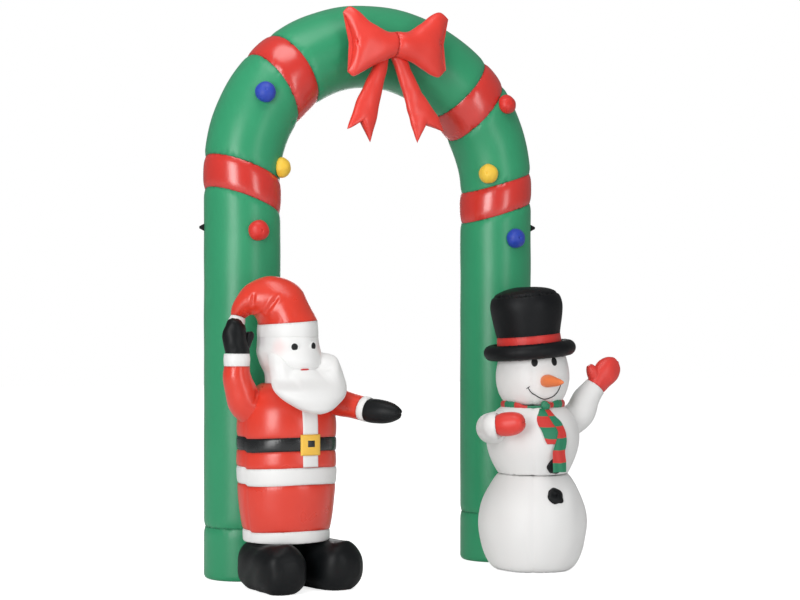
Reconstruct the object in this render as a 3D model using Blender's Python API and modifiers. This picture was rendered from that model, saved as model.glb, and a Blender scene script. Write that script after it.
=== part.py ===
"""An inflatable garden arch: one air-filled tube of sewn cloth panels on two feet, with a bow,
six sewn-on balls, a bearded figure in front of the left leg and a snowman in front of the right.
Metres, +Z up, the arch in the XZ plane and its front towards -Y."""

import math
from collections import namedtuple

import bmesh
import bpy
from mathutils import Vector

GAP = 0.0003  # between pieces that touch

# The arch.
HEIGHT = 2.40
LEG_SPACING = 1.227  # between the middles of the legs
LEG_RADIUS = 0.157
CROWN_RADIUS = 0.173
RISE = 0.573  # of the bent part's centre line above the straight legs
SPRING = HEIGHT - CROWN_RADIUS - RISE  # where the legs start to bend
HALF_SPACING = LEG_SPACING / 2
TUBE_SIDES = 24
FOOT_SEAM = 0.212
SEAM_DEPTH = 0.0045  # how far a seam draws the cloth in
SEAM_REACH = 0.016
BAND_WIDTH = 0.128

# Where the two figures stand, from the middle of the arch.
FIGURE_X, FIGURE_Y = -0.570, -0.337
SNOWMAN_X, SNOWMAN_Y = 0.5725, -0.360

GREEN = (0.03, 0.36, 0.17, 1)
RED = (0.78, 0.05, 0.035, 1)
WHITE = (0.87, 0.87, 0.86, 1)
BLACK = (0.012, 0.013, 0.015, 1)
YELLOW = (0.85, 0.58, 0.05, 1)
BLUE = (0.02, 0.06, 0.38, 1)
ORANGE = (0.95, 0.29, 0.04, 1)

Seam = namedtuple("Seam", "point normal")
# A section of a soft form: its middle, half its width and depth, and 1 for an ellipse, less for a box.
Section = namedtuple("Section", "x y z wide deep square")

for old in list(bpy.data.objects):
    bpy.data.objects.remove(old, do_unlink=True)

PARTS = bpy.data.collections.new("inflatable_arch")
CUTTERS = bpy.data.collections.new("cutters")
for group in (PARTS, CUTTERS):
    bpy.context.scene.collection.children.link(group)


# Tools that every piece uses.

def stand(name, location, parent=None, rotation=(0, 0, 0)):
    """An empty that pieces are placed by."""
    empty = bpy.data.objects.new(name, None)
    bpy.context.scene.collection.objects.link(empty)
    empty.location = location
    empty.rotation_euler = rotation
    empty.parent = parent
    return empty


def finish(colour, roughness=0.42):
    """Thin coated cloth of one colour."""
    name = "cloth_%02x%02x%02x" % tuple(int(255 * c) for c in colour[:3])
    material = bpy.data.materials.get(name)
    if material is None:
        material = bpy.data.materials.new(name)
        material.use_nodes = True
        shader = material.node_tree.nodes["Principled BSDF"]
        shader.inputs["Base Color"].default_value = colour
        shader.inputs["Roughness"].default_value = roughness
        shader.inputs["Metallic"].default_value = 0.0
    return material


def piece(name, mesh, parent, colour, location=(0, 0, 0), rotation=(0, 0, 0)):
    """A named piece of the object in its own cloth."""
    part = bpy.data.objects.new(name, mesh)
    PARTS.objects.link(part)
    part.parent = parent
    part.location = location
    part.rotation_euler = rotation
    mesh.materials.clear()
    mesh.materials.append(finish(colour))
    if mesh.polygons:
        mesh.shade_smooth()
        mesh.set_sharp_from_angle(angle=math.radians(50))
    return part


def cutter(name, mesh, parent, location=(0, 0, 0), rotation=(0, 0, 0)):
    """A shape that is only used to cut or join pieces."""
    shape = bpy.data.objects.new(name, mesh)
    CUTTERS.objects.link(shape)
    shape.parent = parent
    shape.location = location
    shape.rotation_euler = rotation
    shape.hide_render = True
    shape.display_type = "WIRE"
    return shape


def boolean(part, *shapes, operation="DIFFERENCE"):
    for shape in shapes:
        modifier = part.modifiers.new(operation.lower() + "_" + shape.name, "BOOLEAN")
        modifier.operation = operation
        modifier.solver = "EXACT"
        modifier.object = shape


def mesh_of(name, build):
    """A mesh that build fills, with its faces pointing out."""
    mesh = bpy.data.meshes.new(name)
    shape = bmesh.new()
    build(shape)
    bmesh.ops.remove_doubles(shape, verts=shape.verts, dist=0.00002)
    bmesh.ops.recalc_face_normals(shape, faces=shape.faces)
    shape.to_mesh(mesh)
    shape.free()
    return mesh


def spread(table, count):
    """count rows spaced evenly along a table, on a smooth curve through its rows."""
    rows = []
    for i in range(count):
        place = i * (len(table) - 1) / (count - 1)
        k = min(int(place), len(table) - 2)
        t = place - k
        before, start, end, after = (table[min(max(j, 0), len(table) - 1)] for j in range(k - 1, k + 3))
        row = []
        for a, b, c, d in zip(before, start, end, after):
            bend = (2 * a - 5 * b + 4 * c - d) * t * t + (3 * b - a - 3 * c + d) * t ** 3
            row.append(b + 0.5 * ((c - a) * t + bend))
        rows.append(tuple(row))
    return rows


def at_height(profile, z):
    """The radius of a (radius, height) profile at one height, on straight runs between its rows."""
    for (r0, z0), (r1, z1) in zip(profile, profile[1:]):
        if min(z0, z1) <= z <= max(z0, z1):
            return r0 + (r1 - r0) * (z - z0) / (z1 - z0)
    raise ValueError("no such height in the profile")


def closed_skin(shape, rings):
    """Skins a list of point rings and closes both ends. Its triangles always split the same way, so
    a shape and its grown cutter stay parallel."""
    rows = [[shape.verts.new(point) for point in ring] for ring in rings]
    count = len(rows[0])
    for low, high in zip(rows, rows[1:]):
        for i in range(count):
            j = (i + 1) % count
            shape.faces.new((low[i], low[j], high[j]))
            shape.faces.new((low[i], high[j], high[i]))
    shape.faces.new(list(reversed(rows[0])))
    shape.faces.new(rows[-1])


def section_ring(section, across, deep, sides, grow):
    ring = []
    for i in range(sides):
        angle = 2 * math.pi * (i + 0.5) / sides
        c, s = math.cos(angle), math.sin(angle)
        u = math.copysign(abs(c) ** section.square, c) * (section.wide + grow)
        v = math.copysign(abs(s) ** section.square, s) * (section.deep + grow)
        ring.append(Vector((section.x, section.y, section.z)) + across * u + deep * v)
    return ring


def soft_form(name, sections, sides=20, facing=(0, 1, 0), grow=0.0, level=0, floor=None, ceiling=None):
    """A filled form through unlike sections, square to their path but for the first ones, which are
    level. facing is the side that deep is measured along."""
    sections = [Section(*row) for row in sections]
    middles = [Vector((s.x, s.y, s.z)) for s in sections]
    last = len(sections) - 1
    rings = []
    for i, section in enumerate(sections):
        along = (middles[min(i + 1, last)] - middles[max(i - 1, 0)]).normalized()
        if i < level:
            along = Vector((0, 0, math.copysign(1, along.z)))
        across = Vector(facing).cross(along).normalized()
        ring = section_ring(section, across, along.cross(across), sides, grow)
        if grow and i in (0, last):
            push = along * (grow if i else -grow)
            ring = [point + push for point in ring]
        for point in ring:
            if floor is not None:
                point.z = max(point.z, floor)
            if ceiling is not None:
                point.z = min(point.z, ceiling)
        rings.append(ring)
    return mesh_of(name, lambda shape: closed_skin(shape, rings))


def leaning_form(name, sections, sides=20):
    """A filled form through rows of (x, y, z, half wide, half deep, degrees that the section leans
    about Y from level)."""
    rings = []
    for x, y, z, wide, deep, lean in sections:
        lean = math.radians(lean)
        ring = []
        for i in range(sides):
            angle = math.radians(90 + 360 * i / sides)
            off = wide * math.cos(angle)
            ring.append(Vector((x + off * math.cos(lean), y + deep * math.sin(angle), z + off * math.sin(lean))))
        rings.append(ring)
    return mesh_of(name, lambda shape: closed_skin(shape, rings))


def tube(name, path, sides=12, grow=0.0):
    """A round tube along rows of (x, y, z, radius), closed flat at both ends."""
    curve = bpy.data.curves.new(name, "CURVE")
    curve.dimensions = "3D"
    curve.bevel_depth = 1.0
    curve.bevel_resolution = (sides - 4) // 2
    curve.use_fill_caps = True
    spline = curve.splines.new("POLY")
    spline.points.add(len(path) - 1)
    for point, (x, y, z, radius) in zip(spline.points, path):
        point.co = (x, y, z, 1)
        point.radius = radius + grow
    guide = bpy.data.objects.new(name, curve)
    bpy.context.scene.collection.objects.link(guide)
    drawn = guide.evaluated_get(bpy.context.evaluated_depsgraph_get())
    mesh = bpy.data.meshes.new_from_object(drawn)
    bpy.data.objects.remove(guide, do_unlink=True)
    bpy.data.curves.remove(curve)

    def weld(shape):
        shape.from_mesh(mesh)

    return mesh_of(name, weld)


def turned(name, profile, sides=24):
    """A form turned round Z from (radius, height) rows that run from top to bottom."""
    def draw(shape):
        verts = [shape.verts.new((radius, 0, height)) for radius, height in profile]
        for a, b in zip(verts, verts[1:]):
            shape.edges.new((a, b))

    outline = bpy.data.meshes.new(name)
    shape = bmesh.new()
    draw(shape)
    shape.to_mesh(outline)
    shape.free()
    guide = bpy.data.objects.new(name, outline)
    bpy.context.scene.collection.objects.link(guide)
    screw = guide.modifiers.new("turn", "SCREW")
    screw.steps = screw.render_steps = sides
    screw.use_merge_vertices = True
    screw.merge_threshold = 0.00005
    drawn = guide.evaluated_get(bpy.context.evaluated_depsgraph_get())
    mesh = bpy.data.meshes.new_from_object(drawn)
    bpy.data.objects.remove(guide, do_unlink=True)
    bpy.data.meshes.remove(outline)
    return mesh_of(name, lambda form: form.from_mesh(mesh))


def lids(profile):
    """A turned profile closed with flat lids at its two ends."""
    return [(0.0, profile[0][1])] + list(profile) + [(0.0, profile[-1][1])]


def cushion(name, rows, thick, columns, middle_y, lean=0.0):
    """A flat air-filled form: each row runs from one edge point to the other, and it is crowned
    between its edges. Rows are (x0, z0, x1, z1, waist), waist bowing the row along X."""
    count = len(rows)

    def build(shape):
        faces = []
        for side in (-1, 1):
            grid = []
            for j, (x0, z0, x1, z1, waist) in enumerate(rows):
                v = 2 * j / (count - 1) - 1
                line = []
                for i in range(columns + 1):
                    u = 2 * i / columns - 1
                    t = i / columns
                    crown = math.sqrt(max(0.0, 1 - u * u)) * math.sqrt(max(0.0, 1 - abs(v) ** 5))
                    x = x0 + (x1 - x0) * t + waist * (1 - u * u)
                    z = z0 + (z1 - z0) * t
                    y = middle_y + lean * z + side * thick * crown
                    line.append(shape.verts.new((x, y, z)))
                grid.append(line)
            faces.append(grid)
        for grid in faces:
            for j, (low, high) in enumerate(zip(grid, grid[1:])):
                for i in range(columns):
                    # Each quad is split towards its nearest corner of the form.
                    if (2 * i < columns) == (2 * j < count - 1):
                        halves = ((low[i], low[i + 1], high[i + 1]), (low[i], high[i + 1], high[i]))
                    else:
                        halves = ((low[i], low[i + 1], high[i]), (low[i + 1], high[i + 1], high[i]))
                    for half in halves:
                        shape.faces.new(half)

    return mesh_of(name, build)


def ball(name, radius, height, rings=8, sides=14):
    """A round, slightly flat form from a sphere primitive, at the origin."""
    def build(shape):
        bmesh.ops.create_uvsphere(shape, u_segments=sides, v_segments=rings, radius=1)
        bmesh.ops.scale(shape, vec=(radius, radius, height), verts=shape.verts)

    return mesh_of(name, build)


# The arch: one tube along its centre line, cut into panels by the planes of its seams.

FLOOR = stand("floor_centre", (0, 0, 0))
FOOT_ROUNDING = ((0.0, 0.012), (0.005, 0.004), (0.014, 0.0))  # height, and how far in the cloth turns
LEG_HEIGHTS = (0.10, 0.45, 0.80, 1.15, 1.45)


def over_the_top(degrees, grow=0.0):
    """A point of the bent part's centre line and the tube's radius; 0 is the left leg, 180 the right."""
    angle = math.radians(degrees)
    swell = math.sin(angle)
    return (-HALF_SPACING * math.cos(angle), 0.0, SPRING + RISE * swell,
            LEG_RADIUS + (CROWN_RADIUS - LEG_RADIUS) * swell + grow)


def half_path(grow=0.0):
    """The left leg from the floor to just past the crown's middle."""
    path = [(-HALF_SPACING, 0.0, height, LEG_RADIUS - turn_in + grow) for height, turn_in in FOOT_ROUNDING]
    path += [(-HALF_SPACING, 0.0, height, LEG_RADIUS + grow) for height in LEG_HEIGHTS]
    path += [over_the_top(degrees, grow) for degrees in range(0, 106, 7)]
    return path


def band_seams(side, degrees, height, tilt):
    """The lower and upper seam of a red band whose plane leans out of level by tilt."""
    x, _, z, _ = over_the_top(degrees)
    middle = Vector((x, 0, height if height else z))
    lean = math.radians(tilt)
    up = Vector((math.sin(lean), 0, math.cos(lean)))
    edges = []
    for step in (-0.5, 0.5):
        point = middle + up * BAND_WIDTH * step
        edges.append(Seam(Vector((-side * point.x, 0, point.z)), Vector((-side * up.x, 0, up.z))))
    return edges


def panel(name, path, below, above, colour, seams, side=-1):
    """The part of the tube between two seams, drawn in where cloth is sewn to cloth."""
    mesh = tube(name, path, TUBE_SIDES)
    shape = bmesh.new()
    shape.from_mesh(mesh)
    if side > 0:
        for vert in shape.verts:
            vert.co.x = -vert.co.x

    def split(point, normal, **clear):
        whole = shape.verts[:] + shape.edges[:] + shape.faces[:]
        return bmesh.ops.bisect_plane(shape, geom=whole, dist=0.00001, plane_co=point,
                                      plane_no=normal, **clear)

    for seam in seams:
        for step in (-1.5, 0.0, 1.5):
            split(seam.point + seam.normal * SEAM_REACH * step, seam.normal)
        for vert in shape.verts:
            off = vert.co - seam.point
            height = off.dot(seam.normal)
            out = off - seam.normal * height
            vert.co -= out.normalized() * SEAM_DEPTH * math.exp(-(height / SEAM_REACH) ** 2)
    for seam, away in ((below, -1), (above, 1)):
        if seam is None:
            continue
        cut = split(seam.point - seam.normal * away * GAP / 2, seam.normal * away, clear_outer=True)
        rim = [part for part in cut["geom_cut"] if isinstance(part, bmesh.types.BMEdge)]
        bmesh.ops.contextual_create(shape, geom=rim)
    bmesh.ops.remove_doubles(shape, verts=shape.verts, dist=0.00005)
    bmesh.ops.dissolve_degenerate(shape, edges=shape.edges, dist=0.0001)
    bmesh.ops.recalc_face_normals(shape, faces=shape.faces)
    shape.to_mesh(mesh)
    shape.free()
    return piece(name, mesh, FLOOR, colour)


# Side, then for each band the place on the bend, its height where it is on the straight leg,
# and how far its plane leans.
Bands = namedtuple("Bands", "side low_height low_tilt high_degrees high_tilt")
high_seams = {}
for side_name, bands in (("left", Bands(-1, 1.608, 19, 44.7, 55)), ("right", Bands(1, 1.608, 17.5, 41.3, 51))):
    side = bands.side
    foot = Seam(Vector((side * HALF_SPACING, 0, FOOT_SEAM)), Vector((0, 0, 1)))
    low_start, low_end = band_seams(side, 0, bands.low_height, bands.low_tilt)
    high_start, high_end = band_seams(side, bands.high_degrees, None, bands.high_tilt)
    high_seams[side_name] = high_end
    for stem, below, above, colour in (
        ("leg_base", None, foot, GREEN),
        ("leg", foot, low_start, GREEN),
        ("band_low", low_start, low_end, RED),
        ("shoulder", low_end, high_start, GREEN),
        ("band_high", high_start, high_end, RED),
    ):
        seams = [seam for seam in (below, above) if seam]
        panel(f"{stem}_{side_name}", half_path(), below, above, colour, seams, side)

crown_path = [over_the_top(degrees) for degrees in range(20, 161, 7)]
left_end, right_end = high_seams["left"], high_seams["right"]
right_end = Seam(right_end.point, -right_end.normal)
panel("crown", crown_path, left_end, right_end, GREEN, [left_end, right_end])

whole_path = half_path(GAP)[:-2]
mirrored = [(-x, y, z, radius) for x, y, z, radius in reversed(whole_path)]
whole_path += [over_the_top(degrees, GAP) for degrees in range(98, 175, 7)]
whole_path += [row for row in mirrored if row[2] <= SPRING]
arch_space = cutter("arch_space", tube("arch_space", whole_path, TUBE_SIDES), FLOOR)


# Six small stuffed balls, sewn round the front of the tube.

BALL_RADIUS, BALL_HEIGHT = 0.0425, 0.036
BALL_PROUD = 0.010  # of the ball's middle above the tube
Spot = namedtuple("Spot", "name side height around colour")
BALLS = (
    Spot("ball_blue_left", -1, 1.940, 20, BLUE),
    Spot("ball_yellow_left", -1, 1.684, -50, YELLOW),
    Spot("ball_red_left", -1, 1.412, 0, RED),
    Spot("ball_red_right", 1, 1.964, 22, RED),
    Spot("ball_yellow_right", 1, 1.712, -42, YELLOW),
    Spot("ball_blue_right", 1, 1.416, 0, BLUE),
)


def on_tube(side, height, around):
    """A place on the tube's skin and its outward direction; around is 0 at the front."""
    rise = max(0.0, min(1.0, (height - SPRING) / RISE))
    degrees = math.degrees(math.asin(rise))
    x, _, z, radius = over_the_top(degrees)
    angle = math.asin(rise)
    outward = Vector((-math.cos(angle) / HALF_SPACING, 0, math.sin(angle) / RISE)).normalized()
    turn = math.radians(around)
    out = Vector((0, -math.cos(turn), 0)) + outward * math.sin(turn)
    place = Vector((x, 0, height if height < SPRING else z)) + out * radius
    return Vector((-side * place.x, place.y, place.z)), Vector((-side * out.x, out.y, out.z))


for spot in BALLS:
    place, out = on_tube(spot.side, spot.height, spot.around)
    turn = out.to_track_quat("Z", "Y").to_euler()
    part = piece(spot.name, ball(spot.name, BALL_RADIUS, BALL_HEIGHT), FLOOR, spot.colour,
                 place + out * BALL_PROUD, turn)
    boolean(part, arch_space)


# Two folded webbing tabs on the outer sides, for tethers.

TAB_ROOT, TAB_REACH, TAB_THICK = 0.034, 0.020, 0.003
for side_name, side, height, around in (("left", -1, 1.432, 105), ("right", 1, 1.472, 62)):
    place, out = on_tube(side, height, around)
    tab = bpy.data.curves.new("tab", "CURVE")
    tab.dimensions = "2D"
    tab.fill_mode = "BOTH"
    tab.extrude = TAB_THICK / 2
    line = tab.splines.new("POLY")
    corners = ((-0.008, -TAB_ROOT / 2), (TAB_REACH, -0.004), (TAB_REACH, 0.004), (-0.008, TAB_ROOT / 2))
    line.points.add(len(corners) - 1)
    for point, (reach, up) in zip(line.points, corners):
        point.co = (reach, up, 0, 1)
    line.use_cyclic_u = True
    guide = bpy.data.objects.new("tab", tab)
    bpy.context.scene.collection.objects.link(guide)
    flat = bpy.data.meshes.new_from_object(guide.evaluated_get(bpy.context.evaluated_depsgraph_get()))
    bpy.data.objects.remove(guide, do_unlink=True)
    mesh = mesh_of("tether_tab", lambda shape: shape.from_mesh(flat))
    facing = math.atan2(out.y, out.x)
    part = piece(f"tether_tab_{side_name}", mesh, FLOOR, BLACK, place, (math.pi / 2, 0, facing))
    boolean(part, arch_space)


# The bow: two crowned loops that meet in the middle, and two tails that hang below them.

BOW_Y = -0.224
BOW_MIDDLE = -0.023
LOOP_THICK, TAIL_THICK = 0.056, 0.026
# Each row runs from the loop's upper edge to its lower edge: x, z, x, z, waist.
LOOP_LEFT = (
    (BOW_MIDDLE, 2.252, BOW_MIDDLE, 2.150, 0.0),
    (-0.075, 2.254, -0.062, 2.132, 0.0),
    (-0.140, 2.284, -0.125, 2.103, 0.0),
    (-0.190, 2.318, -0.176, 2.074, 0.004),
    (-0.234, 2.338, -0.216, 2.053, 0.016),
    (-0.264, 2.312, -0.243, 2.070, 0.034),
)
LOOP_RIGHT = (
    (BOW_MIDDLE, 2.252, BOW_MIDDLE, 2.150, 0.0),
    (0.042, 2.262, 0.058, 2.134, 0.0),
    (0.100, 2.300, 0.112, 2.108, 0.0),
    (0.150, 2.338, 0.150, 2.088, -0.004),
    (0.196, 2.356, 0.190, 2.082, -0.016),
    (0.236, 2.330, 0.224, 2.112, -0.034),
)
# Each row runs across the tail from top to bottom: x, z, x, z, and then the notch is cut in its end.
TAIL_LEFT = (
    (-0.096, 2.146, -0.034, 2.160, 0.0),
    (-0.110, 2.106, -0.042, 2.122, 0.0),
    (-0.125, 2.076, -0.048, 2.090, 0.0),
    (-0.150, 2.030, -0.060, 2.046, 0.0),
    (-0.175, 1.982, -0.070, 2.000, 0.0),
    (-0.196, 1.932, -0.082, 1.944, 0.0),
    (-0.213, 1.884, -0.098, 1.876, 0.0),
    (-0.230, 1.840, -0.123, 1.792, 0.0),
)
TAIL_RIGHT = (
    (-0.030, 2.166, 0.050, 2.156, 0.0),
    (-0.010, 2.126, 0.062, 2.114, 0.0),
    (0.006, 2.086, 0.083, 2.080, 0.0),
    (0.023, 2.038, 0.113, 2.028, 0.0),
    (0.041, 1.984, 0.144, 1.988, 0.0),
    (0.058, 1.928, 0.176, 1.950, 0.0),
    (0.077, 1.866, 0.203, 1.916, 0.0),
    (0.101, 1.802, 0.231, 1.858, 0.0),
)

for side_name, rows, seam in (("left", LOOP_LEFT, -GAP / 2), ("right", LOOP_RIGHT, GAP / 2)):
    rows = spread(rows, 9)
    first = rows[0]
    rows[0] = (first[0] + seam, first[1], first[2] + seam, first[3], 0.0)
    name = "bow_" + side_name
    part = piece(name, cushion(name, rows, LOOP_THICK, 8, BOW_Y), FLOOR, RED)
    boolean(part, arch_space)


# The bow's tails stay under its loops and in front of the tube.
loops_space = []
for side_name, rows in (("left", LOOP_LEFT), ("right", LOOP_RIGHT)):
    name = f"loop_space_{side_name}"
    wide = [(x0, z0 + 3 * GAP, x1, z1 - 3 * GAP, w) for x0, z0, x1, z1, w in spread(rows, 9)]
    shift = GAP if side_name == "left" else -GAP
    wide[0] = (wide[0][0] + shift, wide[0][1], wide[0][2] + shift, wide[0][3], 0.0)
    loops_space.append(cutter(name, cushion(name, wide, LOOP_THICK + 2 * GAP, 8, BOW_Y), FLOOR))

Fork = namedtuple("Fork", "x z")
for side_name, rows, fork in (
    ("left", TAIL_LEFT, Fork(-0.165, 1.878)),
    ("right", TAIL_RIGHT, Fork(0.138, 1.884)),
):
    name = "bow_tail_" + side_name
    left_tip, right_tip = rows[-1][:2], rows[-1][2:4]
    part = piece(name, cushion(name, spread(rows, 9), TAIL_THICK, 6, -0.196), FLOOR, RED)
    corners = [Vector((fork.x, 0, fork.z)), Vector((left_tip[0] + 0.012, 0, left_tip[1] - 0.040)),
               Vector((right_tip[0] - 0.012, 0, right_tip[1] - 0.040))]
    rings = [[corner + Vector((0, y, 0)) for corner in corners] for y in (-0.30, -0.10)]
    mesh = mesh_of(name + "_fork", lambda shape, rings=rings: closed_skin(shape, rings))
    boolean(part, cutter(name + "_fork", mesh, FLOOR), arch_space, *loops_space)


# The bearded figure: filled pieces stacked on two boots, each sewn to the next.

FIGURE = stand("bearded_figure", (FIGURE_X, FIGURE_Y, 0))
BODY_SIDES = 24

# Half width and half depth of the body at each height.
Girth = namedtuple("Girth", "z wide deep")
BODY = (
    Girth(0.187, 0.172, 0.162),
    Girth(0.226, 0.173, 0.163),
    Girth(0.300, 0.183, 0.173),
    Girth(0.360, 0.190, 0.180),
    Girth(0.406, 0.194, 0.184),
    Girth(0.472, 0.197, 0.187),
    Girth(0.536, 0.196, 0.186),
    Girth(0.589, 0.196, 0.186),
    Girth(0.650, 0.195, 0.185),
    Girth(0.700, 0.187, 0.177),
    Girth(0.740, 0.170, 0.160),
    Girth(0.775, 0.140, 0.134),
    Girth(0.802, 0.100, 0.100),
)
PUFF = 0.003  # how far each piece swells between its seams


def girth_at(z):
    for low, high in zip(BODY, BODY[1:]):
        if low.z <= z <= high.z:
            t = (z - low.z) / (high.z - low.z)
            return low.wide + (high.wide - low.wide) * t, low.deep + (high.deep - low.deep) * t
    raise ValueError("outside the body")


def body_slab(name, low, high, steps, start=GAP / 2):
    """The part of the body between two seams, swollen between them."""
    rows = []
    for i in range(steps + 1):
        z = low + (high - low) * i / steps
        swell = PUFF * (1 - (2 * i / steps - 1) ** 4)
        z += {0: start, steps: -GAP / 2}.get(i, 0.0)
        rows.append((0, 0, z, *(size + swell for size in girth_at(z)), 1.0))
    return soft_form(name, rows, BODY_SIDES)


def body_shell(name, low, high, out):
    """The body's whole outline between two heights, out beyond its seams."""
    heights = [low] + [row.z for row in BODY if low < row.z < high] + [high]
    rows = [(0, 0, z, *(size + out for size in girth_at(z)), 1.0) for z in heights]
    return soft_form(name, rows, BODY_SIDES)


# Distance in front of the boot's heel seam, half width and half height.
BootRow = namedtuple("BootRow", "y wide tall")
BOOT = (
    BootRow(0.112, 0.040, 0.046),
    BootRow(0.095, 0.074, 0.080),
    BootRow(0.055, 0.0925, 0.102),
    BootRow(-0.030, 0.0955, 0.104),
    BootRow(-0.110, 0.0960, 0.104),
    BootRow(-0.175, 0.0900, 0.096),
    BootRow(-0.215, 0.0700, 0.072),
    BootRow(-0.234, 0.0380, 0.040),
)
BOOT_MIDDLE = 0.088
BOOT_TOP = 0.187 - GAP / 2
BOOT_HEEL_Y = 0.055  # the right boot's toe turns out about here
for side_name, x, toe_out in (("left", -0.090, 0), ("right", 0.105, 14)):
    rows = [(0, row.y - BOOT_HEEL_Y, BOOT_MIDDLE, row.wide, row.tall, 0.82) for row in BOOT]
    name = "figure_boot_" + side_name
    mesh = soft_form(name, rows, 20, facing=(0, 0, 1), floor=0.0, ceiling=BOOT_TOP)
    boolean(piece(name, mesh, FIGURE, BLACK, (x, BOOT_HEEL_Y, 0), (0, 0, math.radians(toe_out))), arch_space)

Slab = namedtuple("Slab", "name low high steps colour")
for slab in (
    Slab("figure_trouser_hem", 0.187, 0.226, 2, WHITE),
    Slab("figure_trousers", 0.226, 0.406, 4, RED),
    Slab("figure_coat_hem", 0.406, 0.472, 2, WHITE),
    Slab("figure_coat_skirt", 0.472, 0.536, 2, RED),
    Slab("figure_belt", 0.536, 0.589, 2, BLACK),
    Slab("figure_coat_chest", 0.589, 0.802, 8, RED),
):
    mesh = body_slab(slab.name, slab.low, slab.high, slab.steps)
    boolean(piece(slab.name, mesh, FIGURE, slab.colour), arch_space)


def box(name, low, high):
    def build(shape):
        bmesh.ops.create_cube(shape, size=1)
        size = Vector(high) - Vector(low)
        bmesh.ops.scale(shape, vec=size, verts=shape.verts)
        bmesh.ops.translate(shape, vec=(Vector(high) + Vector(low)) / 2, verts=shape.verts)

    return mesh_of(name, build)


def body_patch(name, low, high, half, thick, colour):
    """A strip of cloth of one thickness, sewn on the front of the body."""
    part = piece(name, body_shell(name, low, high, PUFF + thick), FIGURE, colour)
    under = cutter(name + "_under", body_shell(name, low - 0.01, high + 0.01, PUFF + GAP), FIGURE)
    keep = box(name, (PATCH_X - half, -0.4, low - 0.1), (PATCH_X + half, -0.05, high + 0.1))
    boolean(part, cutter(name + "_keep", keep, FIGURE), operation="INTERSECT")
    boolean(part, under)


PATCH_X = 0.016  # the front of the coat is turned a little to the walkway
PLACKET_HALF, PLACKET_THICK = 0.033, 0.0035
BUCKLE_HALF, BUCKLE_LOW, BUCKLE_HIGH, BUCKLE_THICK = 0.043, 0.527, 0.608, 0.006
PLACKET_TOP = 0.745
body_patch("figure_buckle", BUCKLE_LOW, BUCKLE_HIGH, BUCKLE_HALF, BUCKLE_THICK, YELLOW)
body_patch("figure_placket_lower", 0.4745, BUCKLE_LOW - GAP, PLACKET_HALF, PLACKET_THICK, WHITE)
body_patch("figure_placket_upper", BUCKLE_HIGH + GAP, PLACKET_TOP, PLACKET_HALF, PLACKET_THICK, WHITE)
chest_space = cutter("chest_space", body_shell("chest_space", 0.589, 0.802, PUFF + GAP), FIGURE)

# The head is one bag whose face bulges forward to the beard.
HEAD_LOW, HEAD_TOP, BRIM_TOP = 0.8023, 0.983, 1.040
HEAD = (
    (0, -0.004, HEAD_LOW, 0.092, 0.106, 1.0),
    (0, -0.018, 0.840, 0.116, 0.146, 1.0),
    (0, -0.028, 0.880, 0.124, 0.156, 1.0),
    (0, -0.022, 0.920, 0.124, 0.152, 1.0),
    (0, -0.015, 0.952, 0.121, 0.148, 1.0),
    (0, -0.010, HEAD_TOP - GAP / 2, 0.117, 0.143, 1.0),
)
boolean(piece("figure_head", soft_form("figure_head", HEAD, BODY_SIDES, level=len(HEAD)), FIGURE, WHITE), arch_space)
HAT_SLOPE = 4.7
BRIM = (
    (0, -0.010, HEAD_TOP + GAP / 2, 0.118, 0.144, 0.0),
    (0, -0.009, 1.011, 0.120, 0.146, HAT_SLOPE / 2),
    (0, -0.007, BRIM_TOP - GAP / 2, 0.1165, 0.142, HAT_SLOPE),
)
boolean(piece("figure_hat_brim", leaning_form("figure_hat_brim", BRIM, BODY_SIDES), FIGURE, WHITE), arch_space)

# The beard hangs forward from the cheeks; a rounded cut leaves the face free and slopes the beard's
# upper side down from the mouth.
BEARD = (
    (0, -0.112, 0.930, 0.128, 0.066, 0.9),
    (0, -0.122, 0.915, 0.147, 0.078, 0.9),
    (0, -0.140, 0.875, 0.158, 0.086, 0.9),
    (0, -0.164, 0.833, 0.161, 0.085, 0.92),
    (0, -0.205, 0.790, 0.1535, 0.080, 0.95),
    (0, -0.238, 0.752, 0.130, 0.072, 1.0),
    (0, -0.256, 0.717, 0.084, 0.055, 1.0),
    (0, -0.268, 0.694, 0.034, 0.030, 1.0),
)
# Depth, half width and half height of the cut.
FACE_Z = 0.945
FACE = ((-0.05, 0.104, 0.085), (-0.19, 0.104, 0.085), (-0.45, 0.140, 0.240))
deeper = [(*HEAD[0][:2], HEAD_LOW - 0.012, *HEAD[0][3:])] + list(HEAD)
head_space = cutter("head_space", soft_form("head_space", deeper, BODY_SIDES, grow=GAP, level=len(deeper)),
                    FIGURE)
face = [(0, y, FACE_Z, wide, tall, 0.7) for y, wide, tall in reversed(FACE)]
face_space = cutter("face_space", soft_form("face_space", face, 20, facing=(0, 0, 1)), FIGURE)
beard = piece("figure_beard", soft_form("figure_beard", BEARD, BODY_SIDES, level=len(BEARD)), FIGURE, WHITE)
placket_space = cutter("placket_space", body_shell("placket_space", 0.600, 0.802,
                                                   PUFF + PLACKET_THICK + GAP), FIGURE)
boolean(beard, head_space, face_space, placket_space)

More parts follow.
